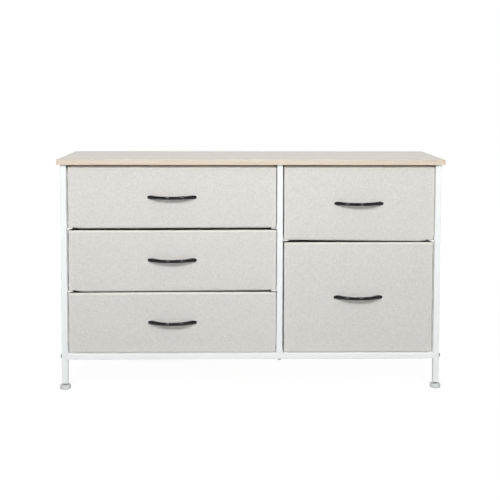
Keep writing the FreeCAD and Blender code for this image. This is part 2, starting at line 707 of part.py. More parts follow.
def make_fabric(drawer, bay, height):
    """The sewn bin: one fabric shell with sleeves for the stiffening boards, open at their feet."""
    label = f"{drawer}_drawer_fabric"
    body = doc.addObject("PartDesign::Body", label)
    width = f"{bay}_drawer_width"
    outline = new_sketch(body, f"{label}_outline", "XY_Plane")
    sketch_rounded_rectangle(outline, 0, 0, width, "drawer_depth", "fabric_wrap_radius")
    pad(body, f"{label}_block", outline, height)
    cavity = new_sketch(body, f"{label}_cavity_sketch", "XY_Plane", height)
    sketch_rectangle(cavity, "drawer_wall", "front_wall", f"{bay}_cavity_width", "cavity_depth")
    pocket(body, f"{label}_cavity", cavity, f"{drawer}_hollow")
    mouth = new_sketch(body, f"{label}_mouth_sketch", "XY_Plane", "fabric_thickness")
    edge = "fabric_thickness"
    sketch_rectangle(mouth, edge, edge, f"{bay}_mouth_width", "mouth_depth")
    pocket(body, f"{label}_mouth", mouth, "pocket_mouth_height", reverse=True)
    sleeves = new_sketch(body, f"{label}_sleeve_sketch", "XY_Plane", "fabric_thickness")
    sketch_rectangle(sleeves, edge, edge, f"{bay}_mouth_width", "front_board_thickness")
    sketch_rectangle(sleeves, edge, "back_slot_place", f"{bay}_mouth_width", "wall_board_thickness")
    for across in (edge, f"{bay}_far_slot_place"):
        sketch_rectangle(sleeves, across, "front_wall", "wall_board_thickness", "cavity_depth")
    pocket(body, f"{label}_sleeves", sleeves, f"{drawer}_board_height", reverse=True)
    holes = new_sketch(body, f"{label}_hole_sketch", "XZ_Plane")
    for across in (f"{bay}_first_hole_place", f"{bay}_second_hole_place"):
        sketch_circle(holes, across, f"{drawer}_handle_height", "screw_hole_radius")
    pocket(body, f"{label}_holes", holes, "front_hole_depth")
    place(body, f"{bay}_drawer_place", "drawer_front", f"{drawer}_bottom")
    keep(body, label)


def make_boards(drawer, bay):
    """Stiffening boards: a drilled front, two sides and a back in their sleeves, and a loose bottom."""
    left, front = f"{bay}_drawer_place", "drawer_front"
    floor = f"{drawer}_bottom + fabric_thickness"
    tall = f"{drawer}_board_height"
    wide = f"{bay}_mouth_width"
    edge = "fabric_thickness"
    blank = box(
        f"{drawer}_front_blank",
        (wide, "front_board_thickness", tall),
        (f"{left} + {edge}", f"{front} + {edge}", floor),
    )
    drills = []
    for which in ("first", "second"):
        drill = doc.addObject("Part::Cylinder", f"{drawer}_{which}_drill")
        bind(drill, "Radius", "screw_hole_radius")
        bind(drill, "Height", "front_wall")
        across = f"{left} + {bay}_{which}_hole_place"
        place(drill, across, f"{front} + front_wall", f"{drawer}_bottom + {drawer}_handle_height", TO_FRONT)
        drills.append(drill)
    holes = doc.addObject("Part::Compound", f"{drawer}_front_drills")
    holes.Links = drills
    front_board = doc.addObject("Part::Cut", f"{drawer}_front_board")
    front_board.Base = blank
    front_board.Tool = holes
    keep(front_board, f"{drawer}_front_board")
    side = ("wall_board_thickness", "cavity_depth", tall)
    walls = [
        box(f"{drawer}_near_wall", side, (f"{left} + {edge}", f"{front} + front_wall", floor)),
        box(f"{drawer}_far_wall", side, (f"{left} + {bay}_far_slot_place", f"{front} + front_wall", floor)),
        box(
            f"{drawer}_back_wall",
            (wide, "wall_board_thickness", tall),
            (f"{left} + {edge}", f"{front} + back_slot_place", floor),
        ),
    ]
    group(f"{drawer}_wall_boards", walls)
    loose = "bottom_board_clearance"
    bottom = box(
        f"{drawer}_bottom_board",
        (f"{bay}_cavity_width - 2 * {loose}", f"cavity_depth - 2 * {loose}", "bottom_board_thickness"),
        (f"{left} + drawer_wall + {loose}", f"{front} + front_wall + {loose}", floor),
    )
    keep(bottom, f"{drawer}_bottom_board")


def full_round():
    """A closed line of four quarters in a unit square, fuller than a circle as its corners weigh more."""
    ways = ((1, 0), (1, 1), (0, 1), (-1, 1), (-1, 0), (-1, -1), (0, -1), (1, -1), (1, 0))
    poles = [Vector(along, up, 0) for along, up in ways]
    weights = [size("handle_corner_share") if along and up else 1 for along, up in ways]
    line = Part.BSplineCurve()
    line.buildFromPolesMultsKnots(poles, (3, 2, 2, 2, 3), (0, 1, 2, 3, 4), False, 2, weights)
    return Part.Wire(line.toShape())


def handle_form():
    """The solid bow: sections from foot to foot, flared at the feet that lie on the drawer's front."""
    foot = size("handle_foot_length") / 2
    thin = size("handle_thickness") / 2
    reach = size("handle_projection") - thin
    span = size("handle_foot_centre")
    height = size("handle_height") / 2
    flare = size("handle_foot_height") / 2 - height
    round_line = full_round()
    sections = []
    for share in HANDLE_STATION_SHARES:
        rise = 1 - share ** 2
        out = Vector(foot * share, -thin * rise, 0)
        centre = Vector(span * share, -reach * rise, 0)
        up = Vector(0, 0, height + flare * share ** HANDLE_FLARE_POWER)
        oval = round_line.transformGeometry(FreeCAD.Matrix(out, up, out.cross(up), centre))
        sections.append(Part.Wire(oval.Edges))
    return Part.makeLoft(sections, True, False)


def make_handle(drawer, bay):
    """A bow handle with two blind holes, and the screws that hold it from inside the drawer."""
    middle = f"{bay}_drawer_place + {bay}_handle_place"
    level = f"{drawer}_bottom + {drawer}_handle_height"
    bow = doc.addObject("Part::Feature", f"{drawer}_bow")
    bow.Shape = handle_form()
    drills = []
    places = []
    for which, sign in (("first", "-"), ("second", "+")):
        drill = doc.addObject("Part::Cylinder", f"{drawer}_{which}_handle_drill")
        bind(drill, "Radius", "pilot_radius")
        bind(drill, "Height", "handle_hole_depth + overrun")
        place(drill, f"{sign}handle_hole_spacing / 2", "overrun", "0", TO_FRONT)
        drills.append(drill)
        across = f"{middle} {sign} handle_hole_spacing / 2"
        places.append((across, "drawer_front + front_wall + screw_head_height", level, TO_FRONT))
    holes = doc.addObject("Part::Compound", f"{drawer}_handle_drills")
    holes.Links = drills
    handle = doc.addObject("Part::Cut", f"{drawer}_handle")
    handle.Base = bow
    handle.Tool = holes
    place(handle, middle, "drawer_front", level)
    keep(handle, f"{drawer}_handle")
    return places


def make_drawers():
    """Five drawers, each a fabric bin with its boards, handle and handle screws."""
    screw = pan_screw("handle_screw", "handle_screw_tip")
    for drawer, (bay, height) in DRAWERS.items():
        make_fabric(drawer, bay, height)
        make_boards(drawer, bay)
        places = make_handle(drawer, bay)
        copies(f"{drawer}_handle_screws", screw, places)


def check_document():
    """Stop if any object failed, or a finished sub-part has no valid solid."""
    doc.recompute()
    for piece in doc.Objects:
        if "Invalid" in piece.State or "Error" in piece.State:
            raise RuntimeError(f"{piece.Label} failed: {piece.State}")
    for piece in nodes:
        if piece.Shape.isNull() or not piece.Shape.isValid() or not piece.Shape.Solids:
            raise RuntimeError(f"{piece.Label} has no valid solid")


fill_sheet()
make_top_board()
make_posts()
make_rails()
make_side_tubes()
make_runners()
make_frame_bolts()
make_rail_end_nuts()
make_leg_inserts()
make_top_screws()
make_feet()
make_drawers()
check_document()

os.makedirs("parts", exist_ok=True)
for piece in nodes:
    piece.Shape.exportStep(f"parts/{piece.Label}.step")
print(len(nodes), "sub-parts written")
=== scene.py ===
import math

import bmesh
import bpy
import numpy as np
from mathutils import Matrix, Vector


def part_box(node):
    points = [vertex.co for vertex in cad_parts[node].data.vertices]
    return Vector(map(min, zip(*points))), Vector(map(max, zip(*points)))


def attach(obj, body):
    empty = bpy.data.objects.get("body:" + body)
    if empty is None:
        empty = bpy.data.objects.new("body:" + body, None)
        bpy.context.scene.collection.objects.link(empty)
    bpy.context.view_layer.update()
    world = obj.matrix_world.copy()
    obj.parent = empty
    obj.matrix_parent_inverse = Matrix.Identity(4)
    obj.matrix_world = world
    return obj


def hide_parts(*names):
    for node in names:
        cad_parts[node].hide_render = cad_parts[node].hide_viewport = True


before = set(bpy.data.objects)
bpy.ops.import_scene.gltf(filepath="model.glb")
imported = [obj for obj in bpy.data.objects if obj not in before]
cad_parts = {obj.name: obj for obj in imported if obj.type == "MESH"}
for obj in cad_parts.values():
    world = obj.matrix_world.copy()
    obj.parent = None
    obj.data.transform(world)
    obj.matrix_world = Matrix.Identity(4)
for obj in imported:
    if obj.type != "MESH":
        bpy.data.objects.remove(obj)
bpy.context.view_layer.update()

# Fabric drawer dresser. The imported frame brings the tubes, boards, handles and fasteners; this
# script sews the drawers, cuts the foot threads, lays the weld beads and finishes every surface.
# Lengths are in millimetres in the piece makers, and in metres in the finishes and on the stage.

MM = 0.001
FULL_TURN = 2 * math.pi
DRAWERS = ("left_top", "left_middle", "left_bottom", "right_top", "right_bottom")
FEET = ("left_front", "left_rear", "right_front", "right_rear")


# Node helpers


def add(tree, kind, feeds=None, **settings):
    """A shader node with its settings, and its inputs set or linked."""
    made = tree.nodes.new("ShaderNode" + kind)
    for key, value in settings.items():
        setattr(made, key, value)
    for key, value in (feeds or {}).items():
        if isinstance(value, bpy.types.NodeSocket):
            tree.links.new(value, made.inputs[key])
        else:
            made.inputs[key].default_value = value
    return made


def reckon(tree, operation, first, second=0.0):
    """The result of a sum on two values."""
    return add(tree, "Math", {0: first, 1: second}, operation=operation).outputs[0]


def ramp(tree, value, low, high, to_low=0.0, to_high=1.0):
    """The value, brought from one range to another and held there."""
    feeds = {"Value": value, "From Min": low, "From Max": high, "To Min": to_low, "To Max": to_high}
    return add(tree, "MapRange", feeds).outputs["Result"]


def blend_colours(tree, share, first, second):
    """A colour between two."""
    made = add(tree, "Mix", {0: share}, data_type="RGBA")
    for socket, colour in ((made.inputs[6], first), (made.inputs[7], second)):
        if isinstance(colour, bpy.types.NodeSocket):
            tree.links.new(colour, socket)
        else:
            socket.default_value = (*colour, 1.0)
    return made.outputs[2]


def stretched_noise(tree, vector, frequency, offset=(0.0, 0.0, 0.0), detail=2.0):
    """Noise with its own frequency, per metre, along each axis."""
    scaled = add(tree, "VectorMath", {0: vector, 1: frequency, 2: offset}, operation="MULTIPLY_ADD")
    feeds = {"Vector": scaled.outputs[0], "Scale": 1.0, "Detail": detail, "Roughness": 0.55}
    return add(tree, "TexNoise", feeds).outputs["Fac"]


def facing_way(tree):
    """Which way the surface faces, by axis."""
    return add(tree, "SeparateXYZ", {0: add(tree, "NewGeometry").outputs["Normal"]}).outputs


def new_group(name, inputs, outputs):
    """An empty node group with named sockets."""
    group = bpy.data.node_groups.new(name, "ShaderNodeTree")
    for socket, value in inputs:
        made = group.interface.new_socket(socket, in_out="INPUT", socket_type="NodeSocketFloat")
        made.default_value = value
    for socket in outputs:
        group.interface.new_socket(socket, in_out="OUTPUT", socket_type="NodeSocketFloat")
    put, out = group.nodes.new("NodeGroupInput"), group.nodes.new("NodeGroupOutput")
    return group, put.outputs, out.inputs


def place_group(tree, group, **feeds):
    """A node group in a finish, with its values."""
    made = tree.nodes.new("ShaderNodeGroup")
    made.node_tree = group
    for key, value in feeds.items():
        made.inputs[key.replace("_", " ")].default_value = value
    return made.outputs


def make_cloth_axes():
    """How far a point is along and up its cloth panel, whichever way the panel faces."""
    group, _, out = new_group("cloth_axes", (), ("Along", "Up"))
    place = add(group, "SeparateXYZ", {0: add(group, "TexCoord").outputs["Object"]}).outputs
    facing = facing_way(group)
    level = reckon(group, "GREATER_THAN", reckon(group, "ABSOLUTE", facing["Z"]), 0.75)
    upright = reckon(group, "SUBTRACT", 1.0, level)
    across = reckon(group, "ADD", place["X"], reckon(group, "MULTIPLY", place["Y"], upright))
    height = reckon(group, "MULTIPLY", place["Z"], upright)
    depth = reckon(group, "MULTIPLY", place["Y"], level)
    group.links.new(across, out["Along"])
    group.links.new(reckon(group, "ADD", height, depth), out["Up"])
    return group


def make_mottle():
    """Soft clouds and finer specks, each from 0 to 1, for uneven colour and gloss."""
    sizes = (("Cloud Size", 0.05), ("Speck Size", 0.004))
    group, put, out = new_group("mottle", sizes, ("Cloud", "Speck"))
    place = add(group, "TexCoord").outputs["Object"]
    for size, result in (("Cloud Size", "Cloud"), ("Speck Size", "Speck")):
        feeds = {"Vector": place, "Scale": reckon(group, "DIVIDE", 1.0, put[size]), "Detail": 3.0}
        noise = add(group, "TexNoise", feeds).outputs["Fac"]
        group.links.new(ramp(group, noise, 0.3, 0.7), out[result])
    return group


def make_fine_skin():
    """Height of a fine moulded, sprayed or fibrous skin."""
    group, put, out = new_group("fine_skin", (("Grain Size", 0.001),), ("Height",))
    place = add(group, "TexCoord").outputs["Object"]
    scale = reckon(group, "DIVIDE", 1.0, put["Grain Size"])
    noise = add(group, "TexNoise", {"Vector": place, "Scale": scale, "Detail": 2.0})
    group.links.new(noise.outputs["Fac"], out["Height"])
    return group


CLOTH_AXES = make_cloth_axes()
MOTTLE = make_mottle()
FINE_SKIN = make_fine_skin()


# Finishes


def new_finish(name, **constants):
    """A material with one Principled shader, whose even values are set on its own sockets."""
    finish = bpy.data.materials.new(name)
    finish.use_nodes = True
    tree = finish.node_tree
    tree.nodes.clear()
    skin = add(tree, "BsdfPrincipled")
    for key, value in constants.items():
        skin.inputs[key.replace("_", " ")].default_value = value
    tree.links.new(skin.outputs["BSDF"], add(tree, "OutputMaterial").inputs["Surface"])
    return finish, tree, skin.inputs


def raise_bump(tree, skin, height, strength, distance):
    """Feeds a height into the shader's normal."""
    feeds = {"Height": height, "Strength": strength, "Distance": distance}
    tree.links.new(add(tree, "Bump", feeds).outputs["Normal"], skin["Normal"])


def make_skin(name, sizes, tint, gloss, grain=None, **constants):
    """A finish with uneven colour and gloss, and a fine grain unless it has none.

    The sizes are those of its clouds and specks. The tint and the gloss name which of the two they
    follow, and the colours or roughness they run between. The grain has a size, strength and depth.
    """
    finish, tree, skin = new_finish(name, **constants)
    spots = place_group(tree, MOTTLE, Cloud_Size=sizes[0], Speck_Size=sizes[1])
    tinted, dark, light = tint
    tree.links.new(blend_colours(tree, spots[tinted], dark, light), skin["Base Color"])
    glossed, smooth, rough = gloss
    tree.links.new(ramp(tree, spots[glossed], 0.0, 1.0, smooth, rough), skin["Roughness"])
    if grain:
        size, strength, depth = grain
        height = place_group(tree, FINE_SKIN, Grain_Size=size)["Height"]
        raise_bump(tree, skin, height, strength, depth)
    return finish


# The board is satin, and begins to mirror its surroundings between these shares of facing away
GLANCE = (0.88, 0.91)


def make_oak_laminate():
    """Pale oak print under a satin coat: long grain along X and darker pores."""
    finish, tree, skin = new_finish("oak_laminate_finish", Coat_Roughness=0.2)
    early_wood, late_wood = (0.628, 0.532, 0.428), (0.700, 0.606, 0.500)
    fibre_colour, pore_colour = (0.765, 0.680, 0.580), (0.420, 0.330, 0.250)
    # How often each turns per metre along, across and through the board
    bend_rate, figure_rate = (1.6, 5.0, 5.0), (1.1, 38.0, 60.0)
    fibre_rate, pore_rate = (9.0, 420.0, 420.0), (26.0, 1300.0, 1300.0)
    bend_reach = 0.075
    place = add(tree, "TexCoord").outputs["Object"]
    bend = stretched_noise(tree, place, bend_rate, detail=1.0)
    axes = add(tree, "SeparateXYZ", {0: place}).outputs
    drift = reckon(tree, "MULTIPLY", bend, bend_reach)
    across = reckon(tree, "ADD", axes["Y"], drift)
    rows = add(tree, "CombineXYZ", {"X": axes["X"], "Y": across, "Z": axes["Z"]}).outputs[0]
    figure = ramp(tree, stretched_noise(tree, rows, figure_rate, detail=3.0), 0.32, 0.68)
    fibre = ramp(tree, stretched_noise(tree, rows, fibre_rate, detail=2.0), 0.3, 0.7)
    pores = ramp(tree, stretched_noise(tree, rows, pore_rate, detail=1.0), 0.62, 0.72)
    base = blend_colours(tree, figure, early_wood, late_wood)
    grain = blend_colours(tree, reckon(tree, "MULTIPLY", fibre, 0.35), base, fibre_colour)
    # Pores show less on the top than on the edges
    calm = ramp(tree, facing_way(tree)["Z"], 0.3, 0.9, 1.0, 0.5)
    pore_share = reckon(tree, "MULTIPLY", reckon(tree, "MULTIPLY", pores, 0.28), calm)
    tree.links.new(blend_colours(tree, pore_share, grain, pore_colour), skin["Base Color"])
    slant = add(tree, "LayerWeight", {"Blend": 0.5}).outputs["Facing"]
    tree.links.new(ramp(tree, slant, *GLANCE, 0.0, 0.4), skin["Coat Weight"])
    satin = ramp(tree, slant, *GLANCE, 0.70, 0.23)
    roughness = reckon(tree, "ADD", satin, reckon(tree, "MULTIPLY", fibre, 0.04))
    tree.links.new(roughness, skin["Roughness"])
    raise_bump(tree, skin, reckon(tree, "SUBTRACT", fibre, pores), 0.04, 0.0001)
    return finish


# Width of a thread of the front cloth
LINEN_THREAD = 0.0009


def make_linen():
    """Linen-look front cloth: a plain weave of uneven threads with slubs both ways."""
    finish, tree, skin = new_finish("linen_finish", Sheen_Weight=0.12, Sheen_Roughness=0.5)
    dark_yarn, light_yarn = (0.555, 0.545, 0.518), (0.800, 0.787, 0.752)
    # The darker grey of these two paints shade into the hollows between the threads
    cloud_colour, hollow_shade_colour = (0.70, 0.69, 0.67), (0.40, 0.39, 0.36)
    # Cream for the painted highlight on upward-facing edges
    top_highlight_colour = (0.89, 0.84, 0.76)
    # How often each turns per metre along and up the cloth
    wander_rate, weft_rate, warp_rate = (160.0, 160.0, 1.0), (70.0, 520.0, 1.0), (520.0, 70.0, 1.0)
    warp_shift, slub_range = (3.0, 7.0, 0.0), (0.28, 0.72)
    axes = place_group(tree, CLOTH_AXES)
    flat = add(tree, "CombineXYZ", {"X": axes["Along"], "Y": axes["Up"]}).outputs[0]
    wander = ramp(tree, stretched_noise(tree, flat, wander_rate), 0.2, 0.8, -0.3, 0.3)
    turns = math.pi / LINEN_THREAD
    warp_turn = reckon(tree, "ADD", reckon(tree, "MULTIPLY", axes["Along"], turns), wander)
    weft_turn = reckon(tree, "ADD", reckon(tree, "MULTIPLY", axes["Up"], turns), wander)
    warp, weft = reckon(tree, "SINE", warp_turn), reckon(tree, "SINE", weft_turn)
    over = reckon(tree, "GREATER_THAN", reckon(tree, "MULTIPLY", warp, weft), 0.0)
    under = reckon(tree, "SUBTRACT", 1.0, over)
    warp_round = reckon(tree, "MULTIPLY", reckon(tree, "ABSOLUTE", warp), over)
    weft_round = reckon(tree, "MULTIPLY", reckon(tree, "ABSOLUTE", weft), under)
    thread = reckon(tree, "ADD", warp_round, weft_round)
    weft_slub = ramp(tree, stretched_noise(tree, flat, weft_rate), *slub_range)
    warp_slub = ramp(tree, stretched_noise(tree, flat, warp_rate, warp_shift), *slub_range)
    slub = reckon(tree, "MULTIPLY", reckon(tree, "ADD", weft_slub, warp_slub), 0.5)
    spots = place_group(tree, MOTTLE, Cloud_Size=0.016, Speck_Size=0.0035)
    slub_share = reckon(tree, "MULTIPLY", slub, 0.6)
    speck = reckon(tree, "ADD", slub_share, reckon(tree, "MULTIPLY", spots["Speck"], 0.4))
    cloth = blend_colours(tree, speck, dark_yarn, light_yarn)
    cloud_share = reckon(tree, "MULTIPLY", spots["Cloud"], 0.25)
    clouded = blend_colours(tree, cloud_share, cloth, cloud_colour)
    # Painted shade darkens the hollows between the threads
    hollow_shade = reckon(tree, "MULTIPLY", reckon(tree, "SUBTRACT", 1.0, thread), 0.16)
    shade = blend_colours(tree, hollow_shade, clouded, hollow_shade_colour)
    # Upward-facing edges are painted paler: a painted highlight where light from above falls on
    # them
    top_highlight = ramp(tree, facing_way(tree)["Z"], 0.03, 0.20, 0.0, 0.28)
    tree.links.new(blend_colours(tree, top_highlight, shade, top_highlight_colour), skin["Base Color"])
    tree.links.new(ramp(tree, thread, 0.0, 1.0, 0.95, 0.78), skin["Roughness"])
    relief = reckon(tree, "ADD", thread, reckon(tree, "MULTIPLY", slub, 0.8))
    raise_bump(tree, skin, relief, 0.35, 0.00025)
    return finish


# Spacing of the lining's bonded dots
SPUNBOND_DOTS = 0.0021


def make_spunbond():
    """Pressed fleece of the bins' sides and lining: bonded dots in slanting rows, loose fibres."""
    finish, tree, skin = new_finish("spunbond_finish", Sheen_Weight=0.08, Sheen_Roughness=0.6)
    dark_fibre, light_fibre = (0.600, 0.525, 0.440), (0.720, 0.640, 0.550)
    cloud_colour, dot_colour = (0.62, 0.55, 0.47), (0.42, 0.37, 0.31)
    fibre_rate = (900.0, 1900.0, 1.0)
    axes = place_group(tree, CLOTH_AXES)
    turns = math.pi / SPUNBOND_DOTS
    rising = reckon(tree, "ADD", axes["Along"], axes["Up"])
    falling = reckon(tree, "SUBTRACT", axes["Along"], axes["Up"])
    first = reckon(tree, "SINE", reckon(tree, "MULTIPLY", rising, turns))
    second = reckon(tree, "SINE", reckon(tree, "MULTIPLY", falling, turns))
    crossing = reckon(tree, "ABSOLUTE", reckon(tree, "MULTIPLY", first, second))
    dots = ramp(tree, crossing, 0.45, 0.75)
    flat = add(tree, "CombineXYZ", {"X": axes["Along"], "Y": axes["Up"]}).outputs[0]
    fibres = ramp(tree, stretched_noise(tree, flat, fibre_rate, detail=4.0), 0.3, 0.7)
    spots = place_group(tree, MOTTLE, Cloud_Size=0.03, Speck_Size=0.005)
    cloth = blend_colours(tree, fibres, dark_fibre, light_fibre)
    cloud_share = reckon(tree, "MULTIPLY", spots["Cloud"], 0.3)
    clouded = blend_colours(tree, cloud_share, cloth, cloud_colour)
    shade = blend_colours(tree, reckon(tree, "MULTIPLY", dots, 0.30), clouded, dot_colour)
    tree.links.new(shade, skin["Base Color"])
    tree.links.new(ramp(tree, dots, 0.0, 1.0, 0.90, 0.70), skin["Roughness"])
    relief = reckon(tree, "SUBTRACT", reckon(tree, "MULTIPLY", fibres, 0.4), dots)
    raise_bump(tree, skin, relief, 0.4, 0.0002)
    return finish


def make_board(name, dark, light, fleck):
    """Pressed fibre or paper board with flecks."""
    finish, tree, skin = new_finish(name)
    spots = place_group(tree, MOTTLE, Cloud_Size=0.05, Speck_Size=0.0016)
    shade = blend_colours(tree, spots["Cloud"], dark, light)
    flecked = blend_colours(tree, ramp(tree, spots["Speck"], 0.55, 0.95, 0.0, 0.6), shade, fleck)
    tree.links.new(flecked, skin["Base Color"])
    tree.links.new(ramp(tree, spots["Speck"], 0.0, 1.0, 0.72, 0.9), skin["Roughness"])
    fibres = place_group(tree, FINE_SKIN, Grain_Size=0.0007)
    raise_bump(tree, skin, fibres["Height"], 0.2, 0.0001)
    return finish


LINEN = make_linen()
SPUNBOND = make_spunbond()
THREAD = make_skin(
    "sewing_thread_finish",
    (0.01, 0.0006),
    ("Speck", (0.66, 0.64, 0.59), (0.80, 0.78, 0.73)),
    ("Speck", 0.6, 0.8),
    Sheen_Weight=0.2,
)
# The side seams' dark grey is painted shade, standing for the shade in the gap between a front and
# the post
SEAM_SHADE = make_skin(
    "seam_shade_finish",
    (0.02, 0.001),
    ("Speck", (0.20, 0.195, 0.18), (0.30, 0.29, 0.27)),
    ("Cloud", 0.75, 0.9),
    (0.0008, 0.4, 0.0002),
    Sheen_Weight=0.1,
)
# Plated, dull grey, with cloudy patches
ZINC_STEEL = make_skin(
    "zinc_steel_finish",
    (0.006, 0.0008),
    ("Cloud", (0.36, 0.365, 0.37), (0.52, 0.525, 0.52)),
    ("Speck", 0.28, 0.46),
    (0.0004, 0.15, 0.00005),
    Metallic=1.0,
)
# Sprayed, with a faint orange peel
WHITE_POWDER_COAT = make_skin(
    "white_powder_coat_finish",
    (0.09, 0.006),
    ("Cloud", (0.866, 0.888, 0.892), (0.890, 0.906, 0.908)),
    ("Speck", 0.32, 0.44),
    (0.0016, 0.25, 0.0002),
)
# Moulded and satin
WHITE_PLASTIC = make_skin(
    "white_plastic_finish",
    (0.012, 0.0015),
    ("Cloud", (0.70, 0.71, 0.71), (0.76, 0.77, 0.77)),
    ("Speck", 0.30, 0.46),
    (0.0005, 0.15, 0.00005),
)
# Moulded and glossy, with faint finger marks
BLACK_PLASTIC = make_skin(
    "black_plastic_finish",
    (0.016, 0.001),
    ("Speck", (0.0040, 0.0040, 0.0044), (0.0070, 0.0070, 0.0070)),
    ("Cloud", 0.06, 0.10),
    (0.0006, 0.06, 0.00005),
    Specular_IOR_Level=0.4,
)
FIBREBOARD = make_board(
    "fibreboard_finish", (0.35, 0.25, 0.16), (0.42, 0.31, 0.21), (0.24, 0.17, 0.11)
)
GREYBOARD = make_board(
    "greyboard_finish", (0.43, 0.42, 0.39), (0.50, 0.49, 0.455), (0.30, 0.29, 0.27)
)
FINISHES = {
    "oak_laminate": make_oak_laminate(),
    "white_powder_coat": WHITE_POWDER_COAT,
    "zinc_steel": ZINC_STEEL,
    "white_plastic": WHITE_PLASTIC,
    "black_plastic": BLACK_PLASTIC,
    "linen_fabric": LINEN,
    "fibreboard": FIBREBOARD,
    "greyboard": GREYBOARD,
}


# Piece helpers


def node_box(node):
    """Lowest and highest corner of a CAD node, in millimetres."""
    low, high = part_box(node)
    return np.array(low) / MM, np.array(high) / MM


def add_piece(name, points, faces, finish, body, smooth=True):
    """A mesh piece from points in millimetres, riding on a body."""
    mesh = bpy.data.meshes.new(name)
    mesh.from_pydata([tuple(point) for point in np.asarray(points) * MM], [], faces)
    work = bmesh.new()
    work.from_mesh(mesh)
    bmesh.ops.recalc_face_normals(work, faces=work.faces)
    work.to_mesh(mesh)
    work.free()
    mesh.polygons.foreach_set("use_smooth", [smooth] * len(mesh.polygons))
    mesh.materials.append(finish)
    piece = bpy.data.objects.new(name, mesh)
    bpy.context.scene.collection.objects.link(piece)
    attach(piece, body)
    return piece


def ease(value):
    """A smooth step from 0 to 1."""
    held = np.clip(value, 0.0, 1.0)
    return held * held * (3.0 - 2.0 * held)


# Sewn drawers

# How square a panel's upper and lower corners are
HEAD_CORNER_POWER = 5.0
FOOT_CORNER_POWER = 2.4
# Keeps the middle of a panel from dividing by nothing
TINY = 1e-9
# How far from a panel's ends its points lie, and how far apart between those
EDGE_STEPS = (0.12, 0.45, 1.0, 1.7, 2.5, 3.4, 4.6, 6.0, 8.5, 12.0, 16.0, 22.0)
CLOTH_PITCH = 12.0


def stations(length):
    """Places along a side, close together near both ends."""
    near = [0.0, *EDGE_STEPS]
    span = length - 2 * near[-1]
    count = max(2, round(span / CLOTH_PITCH))
    middle = [near[-1] + span * step / count for step in range(1, count)]
    return np.array(near + middle + [length - step for step in reversed(near)])


def rolled(along, up, size, side, foot, head):
    """Moves a flat panel's points so that its corners are round.

    Also gives how far each point is round the panel's edge, and which way is out there.
    """
    width, height = size
    from_side = np.minimum(along, width - along)
    at_side = np.clip(1 - from_side / side, 0, 1)
    at_foot = np.clip(1 - up / foot, 0, 1)
    at_head = np.clip(1 - (height - up) / head, 0, 1)
    at_end = np.maximum(at_foot, at_head)
    level = np.maximum(at_side, at_end)
    power = np.where(at_head > 0, HEAD_CORNER_POWER, FOOT_CORNER_POWER)
    reach = (at_side**power + at_end**power) ** (1 / power)
    share = np.where(reach > 0, level / np.maximum(reach, TINY), 1.0)
    new_side = np.where(at_side > 0, side * (1 - at_side * share), from_side)
    new_along = np.where(along < width / 2, new_side, width - new_side)
    new_up = np.where(at_foot > 0, foot * (1 - at_foot * share), up)
    new_up = np.where(at_head > 0, height - head * (1 - at_head * share), new_up)
    sideways = np.where(along < width / 2, -1, 1) * at_side
    endways = np.where(up < height / 2, -1, 1) * at_end
    out = np.stack([sideways, endways], -1)
    return new_along, new_up, level, out / np.maximum(reach, TINY)[..., None]


def border(columns, rows):
    """Grid places round the border of a panel, in order."""
    lower = [(column, 0) for column in range(columns - 1)]
    right = [(columns - 1, row) for row in range(rows - 1)]
    upper = [(column, rows - 1) for column in range(columns - 1, 0, -1)]
    left = [(0, row) for row in range(rows - 1, 0, -1)]
    return lower + right + upper + left


def grid_faces(columns, rows, first=0):
    """Quads of a grid whose points are stored column by column."""
    starts = [first + c * rows + r for c in range(columns - 1) for r in range(rows - 1)]
    return [(start, start + rows, start + rows + 1, start + 1) for start in starts]


def ring_faces(first, second):
    """Quads between two closed rings of points."""
    count = len(first)
    return [
        (first[step], first[(step + 1) % count], second[(step + 1) % count], second[step])
        for step in range(count)
    ]


def lay_panel(bounds, radius, shares_across, shares_deep):
    """Points of a level panel with round corners, and which way is out at each."""
    size = (bounds[1] - bounds[0], bounds[3] - bounds[2])
    flat = shares_across * size[0], shares_deep * size[1]
    x, y, _, out = rolled(*flat, size, radius, radius, radius)
    return x + bounds[0], y + bounds[2], out


def shrink(bounds, by):
    """A level panel's bounds, brought in on all sides."""
    return bounds + np.array([by, -by, by, -by])


def drop_unused(points, faces):
    """The points that the faces use, and the faces numbered to suit."""
    used = np.unique(np.array(faces))
    renumber = np.full(len(points), -1)
    renumber[used] = np.arange(len(used))
    return points[used], [tuple(int(renumber[corner]) for corner in face) for face in faces]


# How far each rolled edge of a front reaches in and how deep it falls back, and how they meet
SIDE_ROLL = (3.0, 1.6)
FOOT_ROLL = (6.5, 2.2)
HEAD_ROLL = (7.5, 1.7)
ROLL_POWER = 2.6
ROLL_JOIN = 6
CORNER_SIDE = 1.2
CORNER_FOOT = 3.4
CORNER_HEAD = 1.2
BACK_DEPTH_ROLL = 1.0
# The padding of a front, and how far in from its sides and ends its crown is full
FRONT_THICKNESS = 7.4
FRONT_LOFT = 0.6
FRONT_CROWN = 0.7
CROWN_FROM_SIDE = 60
CROWN_FROM_END = 50
# Two crossing ripples and a slanting one: heights and lengths
RIPPLE = 0.16
RIPPLE_ALONG = 173
RIPPLE_UP = 91
SLANT_RIPPLE = 0.07
SLANT_RIPPLE_LENGTH = 57
SLANT = 0.7
# Where the handle's feet press on the cloth, from the handle's ends, and the size of the dents
GRIP_FOOT = 11.0
DENT_WIDTH = 19
DENT_HEIGHT = 10
# The lower edge lies on the runners near the sides and hangs free between them
RUNNER_SEAT = 15
SEAT_FADE = 12
DROOP_REACH = 30
# A slow lean of the side edges
LEAN = 0.3
LEAN_LENGTH = 140
LEAN_SHIFT = 1.7
LEAN_REACH = 25
# How far a front's left and right edges spread past the bin, and at most beside the runners' lips
FRONT_SPREADS = {
    "left_top": (0.0, 1.3),
    "left_middle": (-0.4, 2.0),
    "left_bottom": (0.3, 2.0),
    "right_top": (0.0, 1.9),
    "right_bottom": (-0.7, 0.0),
}
LIP_SPREAD = 0.8
RUNNER_LIP = 13.0
LIP_FADE = 8
SPREAD_REACH = 40
